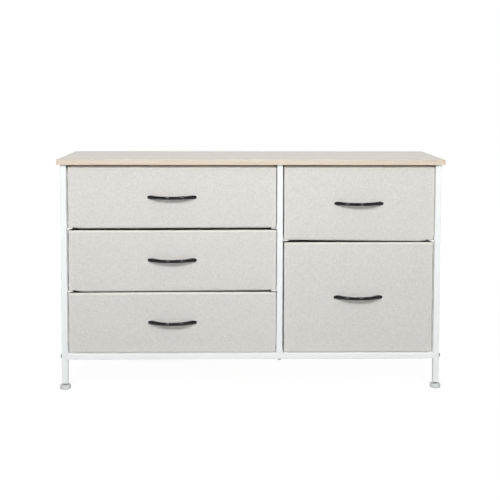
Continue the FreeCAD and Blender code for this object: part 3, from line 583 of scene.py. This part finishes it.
# How far a front's upper edge dips, and how far its lower edge hangs, at its left, middle and right
FRONT_DIPS = {
    "left_top": (0.0, 0.0, 0.0),
    "left_middle": (1.6, 1.6, 0.6),
    "left_bottom": (1.6, 0.0, 0.0),
    "right_top": (0.0, 0.0, 0.0),
    "right_bottom": (0.9, 0.9, 0.9),
}
FRONT_HANGS = {
    "left_top": (1.8, 1.0, 0.4),
    "left_middle": (3.6, 2.3, 0.7),
    "left_bottom": (0.5, 0.5, 0.5),
    "right_top": (-0.5, 1.7, 4.0),
    "right_bottom": (0.5, 0.5, 0.5),
}


def edge_depth(from_side, up, height):
    """How far the cloth falls back towards the edges of a front."""
    rolls = ((from_side, SIDE_ROLL), (up, FOOT_ROLL), (height - up, HEAD_ROLL))
    total = 0.0
    for distance, (reach, depth) in rolls:
        total = total + (depth * np.clip(1 - distance / reach, 0, 1) ** ROLL_POWER) ** ROLL_JOIN
    return total ** (1 / ROLL_JOIN)


def make_front_cover(drawer, order):
    """Linen over the front board: rolled edges, a slight crown, dents under the handle's feet."""
    low, high = node_box(f"{drawer}_drawer_fabric")
    grip_low, grip_high = node_box(f"{drawer}_handle")
    size = (high[0] - low[0], high[2] - low[2])
    width, height = size
    along, up = np.meshgrid(stations(width), stations(height), indexing="ij")
    columns, rows = along.shape
    flat_along, flat_up, level, _ = rolled(along, up, size, CORNER_SIDE, CORNER_FOOT, CORNER_HEAD)
    roll = 1 - np.sqrt(np.maximum(0, 1 - level**2))
    from_side = np.minimum(flat_along, width - flat_along)
    from_end = np.minimum(flat_up, height - flat_up)
    middle = ease(from_side / CROWN_FROM_SIDE) * ease(from_end / CROWN_FROM_END)
    ripple = RIPPLE * np.sin(FULL_TURN * flat_along / RIPPLE_ALONG + order)
    ripple = ripple * np.sin(FULL_TURN * flat_up / RIPPLE_UP + 2 * order)
    slanting = flat_along + SLANT * flat_up
    ripple += SLANT_RIPPLE * np.sin(FULL_TURN * slanting / SLANT_RIPPLE_LENGTH + 3 * order)
    swell = FRONT_LOFT + middle * (FRONT_CROWN + ripple)
    grip_up = (grip_low[2] + grip_high[2]) / 2 - low[2]
    for foot_at in (grip_low[0] + GRIP_FOOT - low[0], grip_high[0] - GRIP_FOOT - low[0]):
        near = ((flat_along - foot_at) / DENT_WIDTH) ** 2 + ((flat_up - grip_up) / DENT_HEIGHT) ** 2
        swell = swell * (1 - np.exp(-(near**2)))
    on_runner = 1 - ease((from_side - RUNNER_SEAT) / SEAT_FADE)
    hang = np.interp(flat_along / width, (0.0, 0.5, 1.0), FRONT_HANGS[drawer])
    dip = np.interp(flat_along / width, (0.0, 0.5, 1.0), FRONT_DIPS[drawer])
    droop = hang * (1 - on_runner) * (1 - ease(flat_up / DROOP_REACH))
    droop = droop + dip * ease(1 - (height - flat_up) / DROOP_REACH)
    lean = LEAN * np.sin(FULL_TURN * flat_up / LEAN_LENGTH + LEAN_SHIFT * order)
    lean = lean * (1 - ease(from_side / LEAN_REACH))
    x = low[0] + flat_along + lean
    for out, full, inward in zip((-1, 1), FRONT_SPREADS[drawer], (flat_along, width - flat_along)):
        narrow = min(full, LIP_SPREAD)
        spread = narrow + (full - narrow) * ease((flat_up - RUNNER_LIP) / LIP_FADE)
        x = x + out * spread * (1 - ease(inward / SPREAD_REACH))
    z = low[2] + flat_up - droop
    front = np.stack([x, low[1] - swell + edge_depth(from_side, flat_up, height), z], -1)
    back = np.stack([x, low[1] + FRONT_THICKNESS - BACK_DEPTH_ROLL * roll, z], -1)
    points = np.concatenate([front.reshape(-1, 3), back.reshape(-1, 3)])
    count = columns * rows
    rim = [column * rows + row for column, row in border(columns, rows)]
    faces = grid_faces(columns, rows) + grid_faces(columns, rows, count)
    faces += ring_faces(rim, [count + place for place in rim])
    name, body = f"{drawer}_front_cover", f"{drawer}_drawer"
    piece = add_piece(name, points, faces, LINEN, body)
    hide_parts(f"{drawer}_drawer_fabric")
    sew_side_seams(drawer, low, high, order)


# How far the left and right side seams stand out from the bin, and at most beside the runners
SEAM_REACH = {"left": (2.5, 2.3), "right": (0.6, 2.5)}
RUNNER_SEAM_REACH = 1.2
SEAM_FADE = 5
SEAM_PITCH = 5.0
SEAM_ENDS = 1.5
# Depth of a seam's front and back behind the front, how far in it starts and how round its fold is
SEAM_FRONT = 5.4
SEAM_BACK = 6.9
SEAM_ROOT = 1.0
SEAM_ROUND = 0.4
# A slow wave of the fold: its height, and its length to one radian
SEAM_WAVE = 0.15
SEAM_WAVE_LENGTH = 9


def sew_side_seams(drawer, low, high, order):
    """The two seams that join a front to the bin: narrow folds that stand out behind its edges,
    coloured dark as painted shade in the gap beside the posts.
    """
    points, faces = [], []
    foot, head = low[2] + SEAM_ENDS, high[2] - SEAM_ENDS
    levels = np.linspace(foot, head, round((head - foot) / SEAM_PITCH))
    for edge, out, full in zip((low[0], high[0]), (-1, 1), SEAM_REACH[drawer.split("_")[0]]):
        narrow = min(full, RUNNER_SEAM_REACH)
        first = len(points)
        for level in levels:
            reach = narrow + (full - narrow) * ease((level - low[2] - RUNNER_LIP) / SEAM_FADE)
            wave = SEAM_WAVE * math.sin(level / SEAM_WAVE_LENGTH + 2 * order + out)
            root, tip = edge - SEAM_ROOT * out, edge + out * (reach + wave)
            outline = (
                (root, SEAM_FRONT),
                (tip - SEAM_ROUND * out, SEAM_FRONT),
                (tip, (SEAM_FRONT + SEAM_BACK) / 2),
                (tip - SEAM_ROUND * out, SEAM_BACK),
                (root, SEAM_BACK),
            )
            points += [(x, low[1] + y, level) for x, y in outline]
        count = len(outline)
        for step in range(len(levels) - 1):
            rim = [first + count * step + corner for corner in range(count)]
            faces.extend(ring_faces(rim, [corner + count for corner in rim]))
        last = len(points) - count
        faces.append(tuple(range(first, first + count)))
        faces.append(tuple(range(last + count - 1, last - 1, -1)))
    name, body = f"{drawer}_side_seams", f"{drawer}_drawer"
    piece = add_piece(name, points, faces, SEAM_SHADE, body)
    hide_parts(f"{drawer}_drawer_fabric")


BIN_CORNER = 4.0
BIN_INNER_CORNER = 1.6
BIN_SIDE_INSET = 0.5
BIN_FLOOR = 0.9
WALL_FILLING = 2.5
LINING_FRONT = 8.0
WALL_PITCH = 14
# Inset and rise of the rings where the floor turns into the walls; the lower ones sag with it
FLOOR_EDGE = 1.6
FLOOR_TURN = ((FLOOR_EDGE, 0.0), (0.9, 0.12), (0.25, 0.7), (0.0, FLOOR_EDGE))
SAGGING_RISE = 1
FLOOR_SAG = 0.9
SAG_START = 16
SAG_FADE = 30
# Rise and lift of the rings at the lower edge of the hem
HEM_DEPTH = 12.0
HEM_LIFT = 0.35
HEM_RINGS = ((0.0, 0.0), (0.15, HEM_LIFT * 0.8), (0.6, HEM_LIFT), (5.0, HEM_LIFT))
RIM_STEPS = 8
RIM_HALF = 2.0
# How far the rim behind a front is pressed down, or stands up under the top board
RIM_DROP = 3.0
RIM_DROPS = {"left_top": -2.8, "right_top": -2.8}
DROP_DEPTH = 2.5
DROP_HEIGHT = 6
# Where a pressed and a standing rim start in from the sides, and how soon they are full
PRESSED_ENDS = (5, 8)
STANDING_ENDS = (0.5, 3)
# Swell of the walls and the lining, its even and waving shares, and the lengths of its waves
WALL_BULGE = 0.45
LINING_BULGE = -0.3
BULGE_SHARES = (0.7, 0.5)
BULGE_LENGTH = 131
BULGE_SHIFT_LENGTH = 23
BULGE_FROM_FRONT = 40


def make_bin(drawer, order):
    """The bin behind the front: sleeves, floor and lining in one closed skin, with a hem."""
    low, high = node_box(f"{drawer}_drawer_fabric")
    side_low, side_high = node_box(f"{drawer}_wall_boards")
    seam = low[1] + FRONT_THICKNESS
    wall = side_low[0] - low[0]
    inner_wall = high[1] - side_high[1] + wall + WALL_FILLING
    inset, lining = BIN_SIDE_INSET, low[1] + LINING_FRONT
    outer = np.array([low[0] + inset, high[0] - inset, seam, high[1] - inset])
    inner = np.array([low[0] + inner_wall, high[0] - inner_wall, lining, high[1] - inner_wall])
    across = stations(outer[1] - outer[0]) / (outer[1] - outer[0])
    deep = stations(outer[3] - outer[2]) / (outer[3] - outer[2])
    columns, rows = len(across), len(deep)
    loop = border(columns, rows)
    loop_across = np.array([across[column] for column, _ in loop])
    loop_deep = np.array([deep[row] for _, row in loop])
    floor, top = low[2], high[2]
    hem = top - HEM_DEPTH
    rim_drop = RIM_DROPS.get(drawer, RIM_DROP)
    points, rings = [], []

    def sag(x):
        """How far the floor hangs down between the runners."""
        from_side = np.minimum(x - low[0], high[0] - x)
        return FLOOR_SAG * ease((from_side - SAG_START) / SAG_FADE)

    def front_drop(x, y, z):
        """How far the rim is pressed down behind the front."""
        from_side = np.minimum(x - low[0], high[0] - x)
        start, fade = PRESSED_ENDS if rim_drop > 0 else STANDING_ENDS
        inside = ease((from_side - start) / fade)
        near_front = 1 - ease((y - seam) / DROP_DEPTH)
        return rim_drop * near_front * inside * ease((z - top + DROP_HEIGHT) / DROP_HEIGHT)

    def add_ring(bounds, radius, z, push=0.0, at_floor=False):
        """One closed ring of the skin at a height, pushed out by a little."""
        x, y, out = lay_panel(bounds, radius, loop_across, loop_deep)
        pull = np.full_like(x, push) if np.isscalar(push) else push(x, y)
        height = np.full_like(x, z) - (sag(x) if at_floor else front_drop(x, y, z))
        first = sum(len(part) for part in points)
        points.append(np.stack([x + out[:, 0] * pull, y + out[:, 1] * pull, height], -1))
        rings.append(list(range(first, first + len(x))))

    def bulge(level, depth):
        """A soft swell of the walls between floor and hem."""
        share = math.sin(math.pi * np.clip((level - floor) / (hem - floor), 0, 1))
        even, waving = BULGE_SHARES

        def push(x, y):
            wave = np.sin(FULL_TURN * (x + y) / BULGE_LENGTH + order + level / BULGE_SHIFT_LENGTH)
            from_front = ease((y - seam) / BULGE_FROM_FRONT)
            return depth * share * from_front * (even + waving * wave)

        return push

    # Outside, from the floor's border up to the hem
    for turned, rise in FLOOR_TURN:
        bounds, radius = shrink(outer, turned), BIN_CORNER - turned
        add_ring(bounds, radius, floor + rise, at_floor=rise < SAGGING_RISE)
    count = max(3, round((hem - floor) / WALL_PITCH))
    wall_foot, wall_height = floor + FLOOR_EDGE, hem - floor - FLOOR_EDGE
    levels = [wall_foot + wall_height * step / count for step in range(1, count)]
    for level in levels:
        add_ring(outer, BIN_CORNER, level, bulge(level, WALL_BULGE))
    for rise, lift in HEM_RINGS:
        add_ring(outer, BIN_CORNER, hem + rise, lift)
    for step in range(RIM_STEPS + 1):
        angle = math.pi * step / RIM_STEPS
        share = (1 - math.cos(angle)) / 2
        bounds = shrink(outer, -HEM_LIFT) * (1 - share) + shrink(inner, HEM_LIFT) * share
        radius = BIN_CORNER * (1 - share) + BIN_INNER_CORNER * share
        add_ring(bounds, radius, top - RIM_HALF + RIM_HALF * math.sin(angle))
    # Inside, from the hem down to the lining's floor
    for rise, lift in reversed(HEM_RINGS):
        add_ring(inner, BIN_INNER_CORNER, hem + rise, -lift)
    for level in reversed(levels):
        add_ring(inner, BIN_INNER_CORNER, level, bulge(level, LINING_BULGE))
    add_ring(inner, BIN_INNER_CORNER, floor + BIN_FLOOR, at_floor=True)

    faces = []
    for first, second in zip(rings, rings[1:]):
        faces += ring_faces(first, second)
    # Floor panels, outside and lining, share their border points with the first and last ring
    grid_across, grid_deep = np.meshgrid(across, deep, indexing="ij")
    for bounds, radius, z, ring in (
        (shrink(outer, FLOOR_EDGE), BIN_CORNER - FLOOR_EDGE, floor, rings[0]),
        (inner, BIN_INNER_CORNER, floor + BIN_FLOOR, rings[-1]),
    ):
        x, y, _ = lay_panel(bounds, radius, grid_across, grid_deep)
        first = sum(len(part) for part in points)
        points.append(np.stack([x, y, z - sag(x)], -1).reshape(-1, 3))
        numbers = np.arange(columns * rows) + first
        for (column, row), place in zip(loop, ring):
            numbers[column * rows + row] = place
        faces += [tuple(numbers[corner] for corner in face) for face in grid_faces(columns, rows)]
    points, faces = drop_unused(np.concatenate(points), faces)
    name, body = f"{drawer}_bin", f"{drawer}_drawer"
    piece = add_piece(name, points, faces, SPUNBOND, body)
    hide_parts(f"{drawer}_drawer_fabric")
    sew_hem(drawer, outer, inner, hem)


STITCH_RISE = 2.2
STITCH_PITCH = 4.4
STITCH_LENGTH = 3.1
STITCH_RADIUS = 0.28
STITCH_TILT = 0.35
STITCH_STAND = 0.3
# Where the rings of a stitch lie along it, and their share of its full girth
STITCH_RINGS = ((-0.5, 0.25), (-0.3, 1.0), (0.3, 1.0), (0.5, 0.25))
# How far from the corners the rows outside and inside end
OUTER_ROW_ENDS = 6.0
INNER_ROW_ENDS = 4.0


def sew_hem(drawer, outer, inner, hem):
    """Stitches along the hem, outside and inside the three walls and along the lining's front."""
    points, faces = [], []

    def sew(start, end, out):
        """A straight row of stitches."""
        span = end - start
        length = np.linalg.norm(span)
        way = span / length
        rise = np.array([0.0, 0.0, 1.0])
        for step in range(int(length / STITCH_PITCH)):
            middle = start + way * (step + 0.5) * STITCH_PITCH
            first = len(points)
            for share, girth in STITCH_RINGS:
                for side in (rise, out, -rise, -out):
                    reach = girth * STITCH_RADIUS
                    tilt = rise * share * STITCH_TILT
                    points.append(middle + way * share * STITCH_LENGTH + side * reach + tilt)
            for ring in range(len(STITCH_RINGS) - 1):
                rim = [first + 4 * ring + corner for corner in range(4)]
                faces.extend(ring_faces(rim, [corner + 4 for corner in rim]))
            faces.append((first + 3, first + 2, first + 1, first))
            faces.append((first + 12, first + 13, first + 14, first + 15))

    level = hem + STITCH_RISE
    lift = HEM_LIFT + STITCH_RADIUS * STITCH_STAND
    for bounds, ends, sign in ((outer, OUTER_ROW_ENDS, 1.0), (inner, INNER_ROW_ENDS, -1.0)):
        west, east, south, north = bounds + sign * lift * np.array([-1, 1, -1, 1])
        sides = [
            ((west, south + ends), (west, north - ends), (-1, 0)),
            ((east, south + ends), (east, north - ends), (1, 0)),
            ((west + ends, north), (east - ends, north), (0, 1)),
        ]
        if sign < 0:
            sides.append(((west + ends, south), (east - ends, south), (0, -1)))
        for start, end, out in sides:
            row = np.array([*start, level]), np.array([*end, level])
            sew(*row, sign * np.array([*out, 0.0]))
    name, body = f"{drawer}_hem_stitches", f"{drawer}_drawer"
    add_piece(name, points, faces, THREAD, body)


# Feet

THREAD_PITCH = 1.0
THREAD_DEPTH = 0.55
THREAD_SIDES = 20
THREAD_STEPS = 6
STUD_RADIUS = 3.0
STUD_TIP = 1.0
STUD_TIP_CHAMFER = 0.9
COLLAR_HEIGHT = 2.2
COLLAR_FOOT_CHAMFER = 0.4
COLLAR_HEAD_CHAMFER = 0.5


def make_stud(foot):
    """A threaded stud with its collar, one turned skin whose upper part is cut by the thread."""
    low, high = node_box(f"{foot}_foot_stud")
    pad_top = node_box(f"{foot}_foot_pad")[1][2]
    centre = (low + high) / 2
    collar_radius = (high[0] - low[0]) / 2
    collar_top = pad_top + COLLAR_HEIGHT
    length = high[2] - STUD_TIP - collar_top
    steps = int(length / THREAD_PITCH * THREAD_STEPS)
    outline = [
        (0.0, low[2]),
        (STUD_RADIUS, low[2]),
        (STUD_RADIUS, pad_top),
        (collar_radius - COLLAR_FOOT_CHAMFER, pad_top),
        (collar_radius, pad_top + COLLAR_FOOT_CHAMFER),
        (collar_radius, collar_top - COLLAR_HEAD_CHAMFER),
        (collar_radius - COLLAR_HEAD_CHAMFER, collar_top),
        (STUD_RADIUS - THREAD_DEPTH, collar_top),
    ]
    start = len(outline)
    outline += [(STUD_RADIUS, collar_top + length * step / steps) for step in range(1, steps + 1)]
    outline += [(STUD_RADIUS - STUD_TIP_CHAMFER, high[2]), (0.0, high[2])]
    points, rings, faces = [], [], []
    for place, (reach, z) in enumerate(outline):
        if reach == 0.0:
            rings.append([len(points)])
            points.append((centre[0], centre[1], z))
            continue
        rings.append(list(range(len(points), len(points) + THREAD_SIDES)))
        for side in range(THREAD_SIDES):
            angle = FULL_TURN * side / THREAD_SIDES
            depth = 0.0
            if start <= place < start + steps:
                phase = (z / THREAD_PITCH - side / THREAD_SIDES) % 1.0
                depth = THREAD_DEPTH * (1 - abs(2 * phase - 1))
            x = centre[0] + (reach - depth) * math.cos(angle)
            y = centre[1] + (reach - depth) * math.sin(angle)
            points.append((x, y, z))
    for first, second in zip(rings, rings[1:]):
        if len(first) == 1:
            faces += [(first[0], *pair) for pair in zip(second, second[1:] + second[:1])]
        elif len(second) == 1:
            faces += [(*pair, second[0]) for pair in zip(first, first[1:] + first[:1])]
        else:
            faces += ring_faces(first, second)
    name, body = f"{foot}_threaded_stud", f"{foot}_foot"
    piece = add_piece(name, points, faces, ZINC_STEEL, body, smooth=False)
    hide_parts(f"{foot}_foot_stud")


# Weld beads

BEAD_RADIUS = 1.7
BEAD_SIDES = 7
BEAD_STEPS = 16
BEAD_RIPPLES = 6
BEAD_RIPPLE = 0.12
BEAD_BELLY = 0.15
BEAD_ROOT = 0.4
BEAD_INSET = 1.5
# How suddenly a bead's girth falls towards its ends, and the square of what is left of it there
BEAD_END_POWER = 8
BEAD_END = 0.05


def bead(points, faces, start, end, up, out):
    """A rippled bead in the corner between two faces, under the coat."""
    span = end - start
    first = len(points)
    for step in range(BEAD_STEPS + 1):
        share = step / BEAD_STEPS
        ripple = 1 + BEAD_RIPPLE * math.sin(BEAD_RIPPLES * FULL_TURN * share)
        taper = math.sqrt(max(BEAD_END, 1 - (2 * share - 1) ** BEAD_END_POWER))
        reach = BEAD_RADIUS * ripple * taper
        for side in range(BEAD_SIDES):
            angle = math.pi / 2 * side / (BEAD_SIDES - 1)
            belly = 1 + BEAD_BELLY * math.sin(2 * angle)
            away = up * math.sin(angle) + out * math.cos(angle)
            points.append(start + span * share + away * reach * belly)
        points.append(start + span * share - (up + out) * BEAD_ROOT)
    ring = BEAD_SIDES + 1
    for step in range(BEAD_STEPS):
        rim = [first + ring * step + side for side in range(ring)]
        faces.extend(ring_faces(rim, [corner + ring for corner in rim]))
    faces.append(tuple(first + side for side in range(ring)))
    faces.append(tuple(first + ring * BEAD_STEPS + side for side in range(ring - 1, -1, -1)))


def make_weld_beads():
    """Beads where the side tubes meet the posts, above the lower tubes too."""
    points, faces = [], []
    up, back = np.array([0.0, 0.0, 1.0]), np.array([0.0, 1.0, 0.0])
    for tube, both in (
        ("left_top_tube", False),
        ("middle_top_tube", False),
        ("right_top_tube", False),
        ("left_bottom_tube", True),
        ("right_bottom_tube", True),
    ):
        low, high = node_box(tube)
        for y, away in ((low[1], back), (high[1], -back)):
            start = np.array([low[0] + BEAD_INSET, y, low[2]])
            end = np.array([high[0] - BEAD_INSET, y, low[2]])
            bead(points, faces, start, end, -up, away)
            if both:
                lift = np.array([0.0, 0.0, high[2] - low[2]])
                bead(points, faces, start + lift, end + lift, up, away)
    add_piece("frame_weld_beads", points, faces, WHITE_POWDER_COAT, "frame")


# Stage

# The viewpoint fitted to the photo: metres, pixels and degrees
SHOT = {
    "place": (-0.04793, -2.46737, 0.79330),
    "focal": 907.384,
    "yaw": 1.079,
    "pitch": 3.465,
    "roll": 0.121,
    "axis_row": 139.14,
}
IMAGE_SIDE = 500
SENSOR = 36.0


def set_camera():
    """The photograph's viewpoint: nearly straight on, a little above the top board."""
    lens = bpy.data.cameras.new("dresser_camera")
    lens.sensor_fit = "HORIZONTAL"
    lens.sensor_width = SENSOR
    lens.lens = SHOT["focal"] / IMAGE_SIDE * SENSOR
    lens.shift_y = (SHOT["axis_row"] - IMAGE_SIDE / 2) / IMAGE_SIDE
    yaw, pitch, roll = (math.radians(SHOT[key]) for key in ("yaw", "pitch", "roll"))
    level = math.cos(pitch)
    ahead = Vector((math.sin(yaw) * level, math.cos(yaw) * level, -math.sin(pitch)))
    right = Vector((math.cos(yaw), -math.sin(yaw), 0.0))
    up = right.cross(ahead)
    rolled_right = right * math.cos(roll) + up * math.sin(roll)
    rolled_up = up * math.cos(roll) - right * math.sin(roll)
    camera = bpy.data.objects.new("dresser_camera", lens)
    turn = Matrix((rolled_right, rolled_up, -ahead)).transposed()
    camera.matrix_world = Matrix.Translation(SHOT["place"]) @ turn.to_4x4()
    bpy.context.scene.collection.objects.link(camera)
    bpy.context.scene.camera = camera


def add_softbox(name, place, aim, size, power, mirrored):
    """A soft rectangular lamp aimed at a point. Glossy surfaces may mirror it or not."""
    lamp = bpy.data.lights.new(name, "AREA")
    lamp.shape = "RECTANGLE"
    lamp.size, lamp.size_y = size
    lamp.energy = power
    softbox = bpy.data.objects.new(name, lamp)
    softbox.location = place
    softbox.visible_camera = False
    softbox.visible_glossy = mirrored
    softbox.rotation_euler = (Vector(aim) - Vector(place)).to_track_quat("-Z", "Y").to_euler()
    bpy.context.scene.collection.objects.link(softbox)


FRONT_AIM = (0.0, -0.13, 0.35)
# Each lamp's place, aim and size, its watts, and whether it is mirrored
SOFTBOXES = {
    "left_softbox": ((-0.80, -1.75, 1.40), FRONT_AIM, (0.26, 0.55), 17.7, True),
    "right_softbox": ((0.80, -1.75, 1.40), FRONT_AIM, (0.26, 0.55), 15.3, True),
    "front_fill": ((0.0, -4.2, 0.55), FRONT_AIM, (0.4, 0.2), 25.0, False),
    "rear_fill": ((0.4, 3.4, 1.3), FRONT_AIM, (1.2, 0.6), 75.0, False),
    "overhead_softbox": ((0.0, -0.9, 2.3), (0.0, -0.1, 0.6), (1.8, 0.9), 4.6, True),
}
ROOM_LIGHT = 0.21
# The walls as glossy surfaces mirror them: dim in front, bright behind, and a soft ceiling
WALL_TINT = (0.975, 1.0, 0.978)
FRONT_WALL, REAR_WALL, CEILING = 0.14, 0.83, 0.30


def light_room():
    """White surroundings, dimmer as light than as background, and the softboxes."""
    world = bpy.data.worlds.new("white_room")
    world.use_nodes = True
    tree = world.node_tree
    tree.nodes.clear()
    path = add(tree, "LightPath").outputs
    seen = reckon(tree, "MAXIMUM", path["Is Camera Ray"], path["Is Transmission Ray"])
    way = add(tree, "SeparateXYZ", {0: add(tree, "TexCoord").outputs["Generated"]}).outputs
    behind = ramp(tree, way["Y"], -0.5, 0.35, FRONT_WALL, REAR_WALL)
    mirrored = reckon(tree, "MAXIMUM", behind, ramp(tree, way["Z"], 0.3, 0.9, 0.0, CEILING))
    gloss = reckon(tree, "MULTIPLY", path["Is Glossy Ray"], mirrored)
    plain = reckon(tree, "SUBTRACT", 1.0, reckon(tree, "MAXIMUM", seen, path["Is Glossy Ray"]))
    ambient = reckon(tree, "MULTIPLY", plain, ROOM_LIGHT)
    strength = reckon(tree, "ADD", reckon(tree, "ADD", seen, gloss), ambient)
    walls = blend_colours(tree, path["Is Glossy Ray"], (1.0, 1.0, 1.0), WALL_TINT)
    back = add(tree, "Background", {"Color": walls, "Strength": strength})
    tree.links.new(back.outputs[0], add(tree, "OutputWorld").inputs["Surface"])
    bpy.context.scene.world = world
    for name, settings in SOFTBOXES.items():
        add_softbox(name, *settings)


FLOOR_HALF = 6.0
FLOOR_DROP = 0.0002
# The floor's own light near the part, and where it begins and ends to run out into pure white
FLOOR_GLOW = 0.945
FADE_START, FADE_END = 0.8, 2.4
# Its grey where a shadow is seen, and as it lights the part
SHADOW_GREY = (0.085, 0.085, 0.085, 1.0)
BOUNCE_GREY = (0.42, 0.42, 0.42, 1.0)


def lay_floor():
    """A white floor that keeps a faint shadow and runs out into the white room."""
    half = FLOOR_HALF
    corners = [(-half, -half, 0), (half, -half, 0), (half, half, 0), (-half, half, 0)]
    mesh = bpy.data.meshes.new("white_floor")
    mesh.from_pydata(corners, [], [(0, 1, 2, 3)])
    finish = bpy.data.materials.new("white_floor_finish")
    finish.use_nodes = True
    tree = finish.node_tree
    tree.nodes.clear()
    path = add(tree, "LightPath").outputs
    seen = reckon(tree, "MAXIMUM", path["Is Camera Ray"], path["Is Glossy Ray"])
    seen = reckon(tree, "MAXIMUM", seen, path["Is Transmission Ray"])
    place = add(tree, "TexCoord").outputs["Object"]
    spread = add(tree, "VectorMath", {0: place}, operation="LENGTH")
    strength = ramp(tree, spread.outputs["Value"], FADE_START, FADE_END, FLOOR_GLOW, 1.0)
    glow = add(tree, "Emission", {"Strength": strength})
    shadowed = add(tree, "BsdfDiffuse", {"Color": SHADOW_GREY})
    bright = add(tree, "AddShader", {0: glow.outputs[0], 1: shadowed.outputs[0]})
    plain = add(tree, "BsdfDiffuse", {"Color": BOUNCE_GREY})
    mixed = add(tree, "MixShader", {0: seen, 1: plain.outputs[0], 2: bright.outputs[0]})
    tree.links.new(mixed.outputs[0], add(tree, "OutputMaterial").inputs["Surface"])
    mesh.materials.append(finish)
    floor = bpy.data.objects.new("white_floor", mesh)
    floor.location.z = -FLOOR_DROP
    bpy.context.scene.collection.objects.link(floor)


# Making

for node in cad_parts.values():
    for holder in node.material_slots:
        holder.material = FINISHES[holder.material.name.split(".")[0]]
for order, drawer in enumerate(DRAWERS):
    make_front_cover(drawer, order)
    make_bin(drawer, order)
for foot in FEET:
    make_stud(foot)
make_weld_beads()
set_camera()
light_room()
lay_floor()
bpy.context.scene.view_settings.view_transform = "Standard"
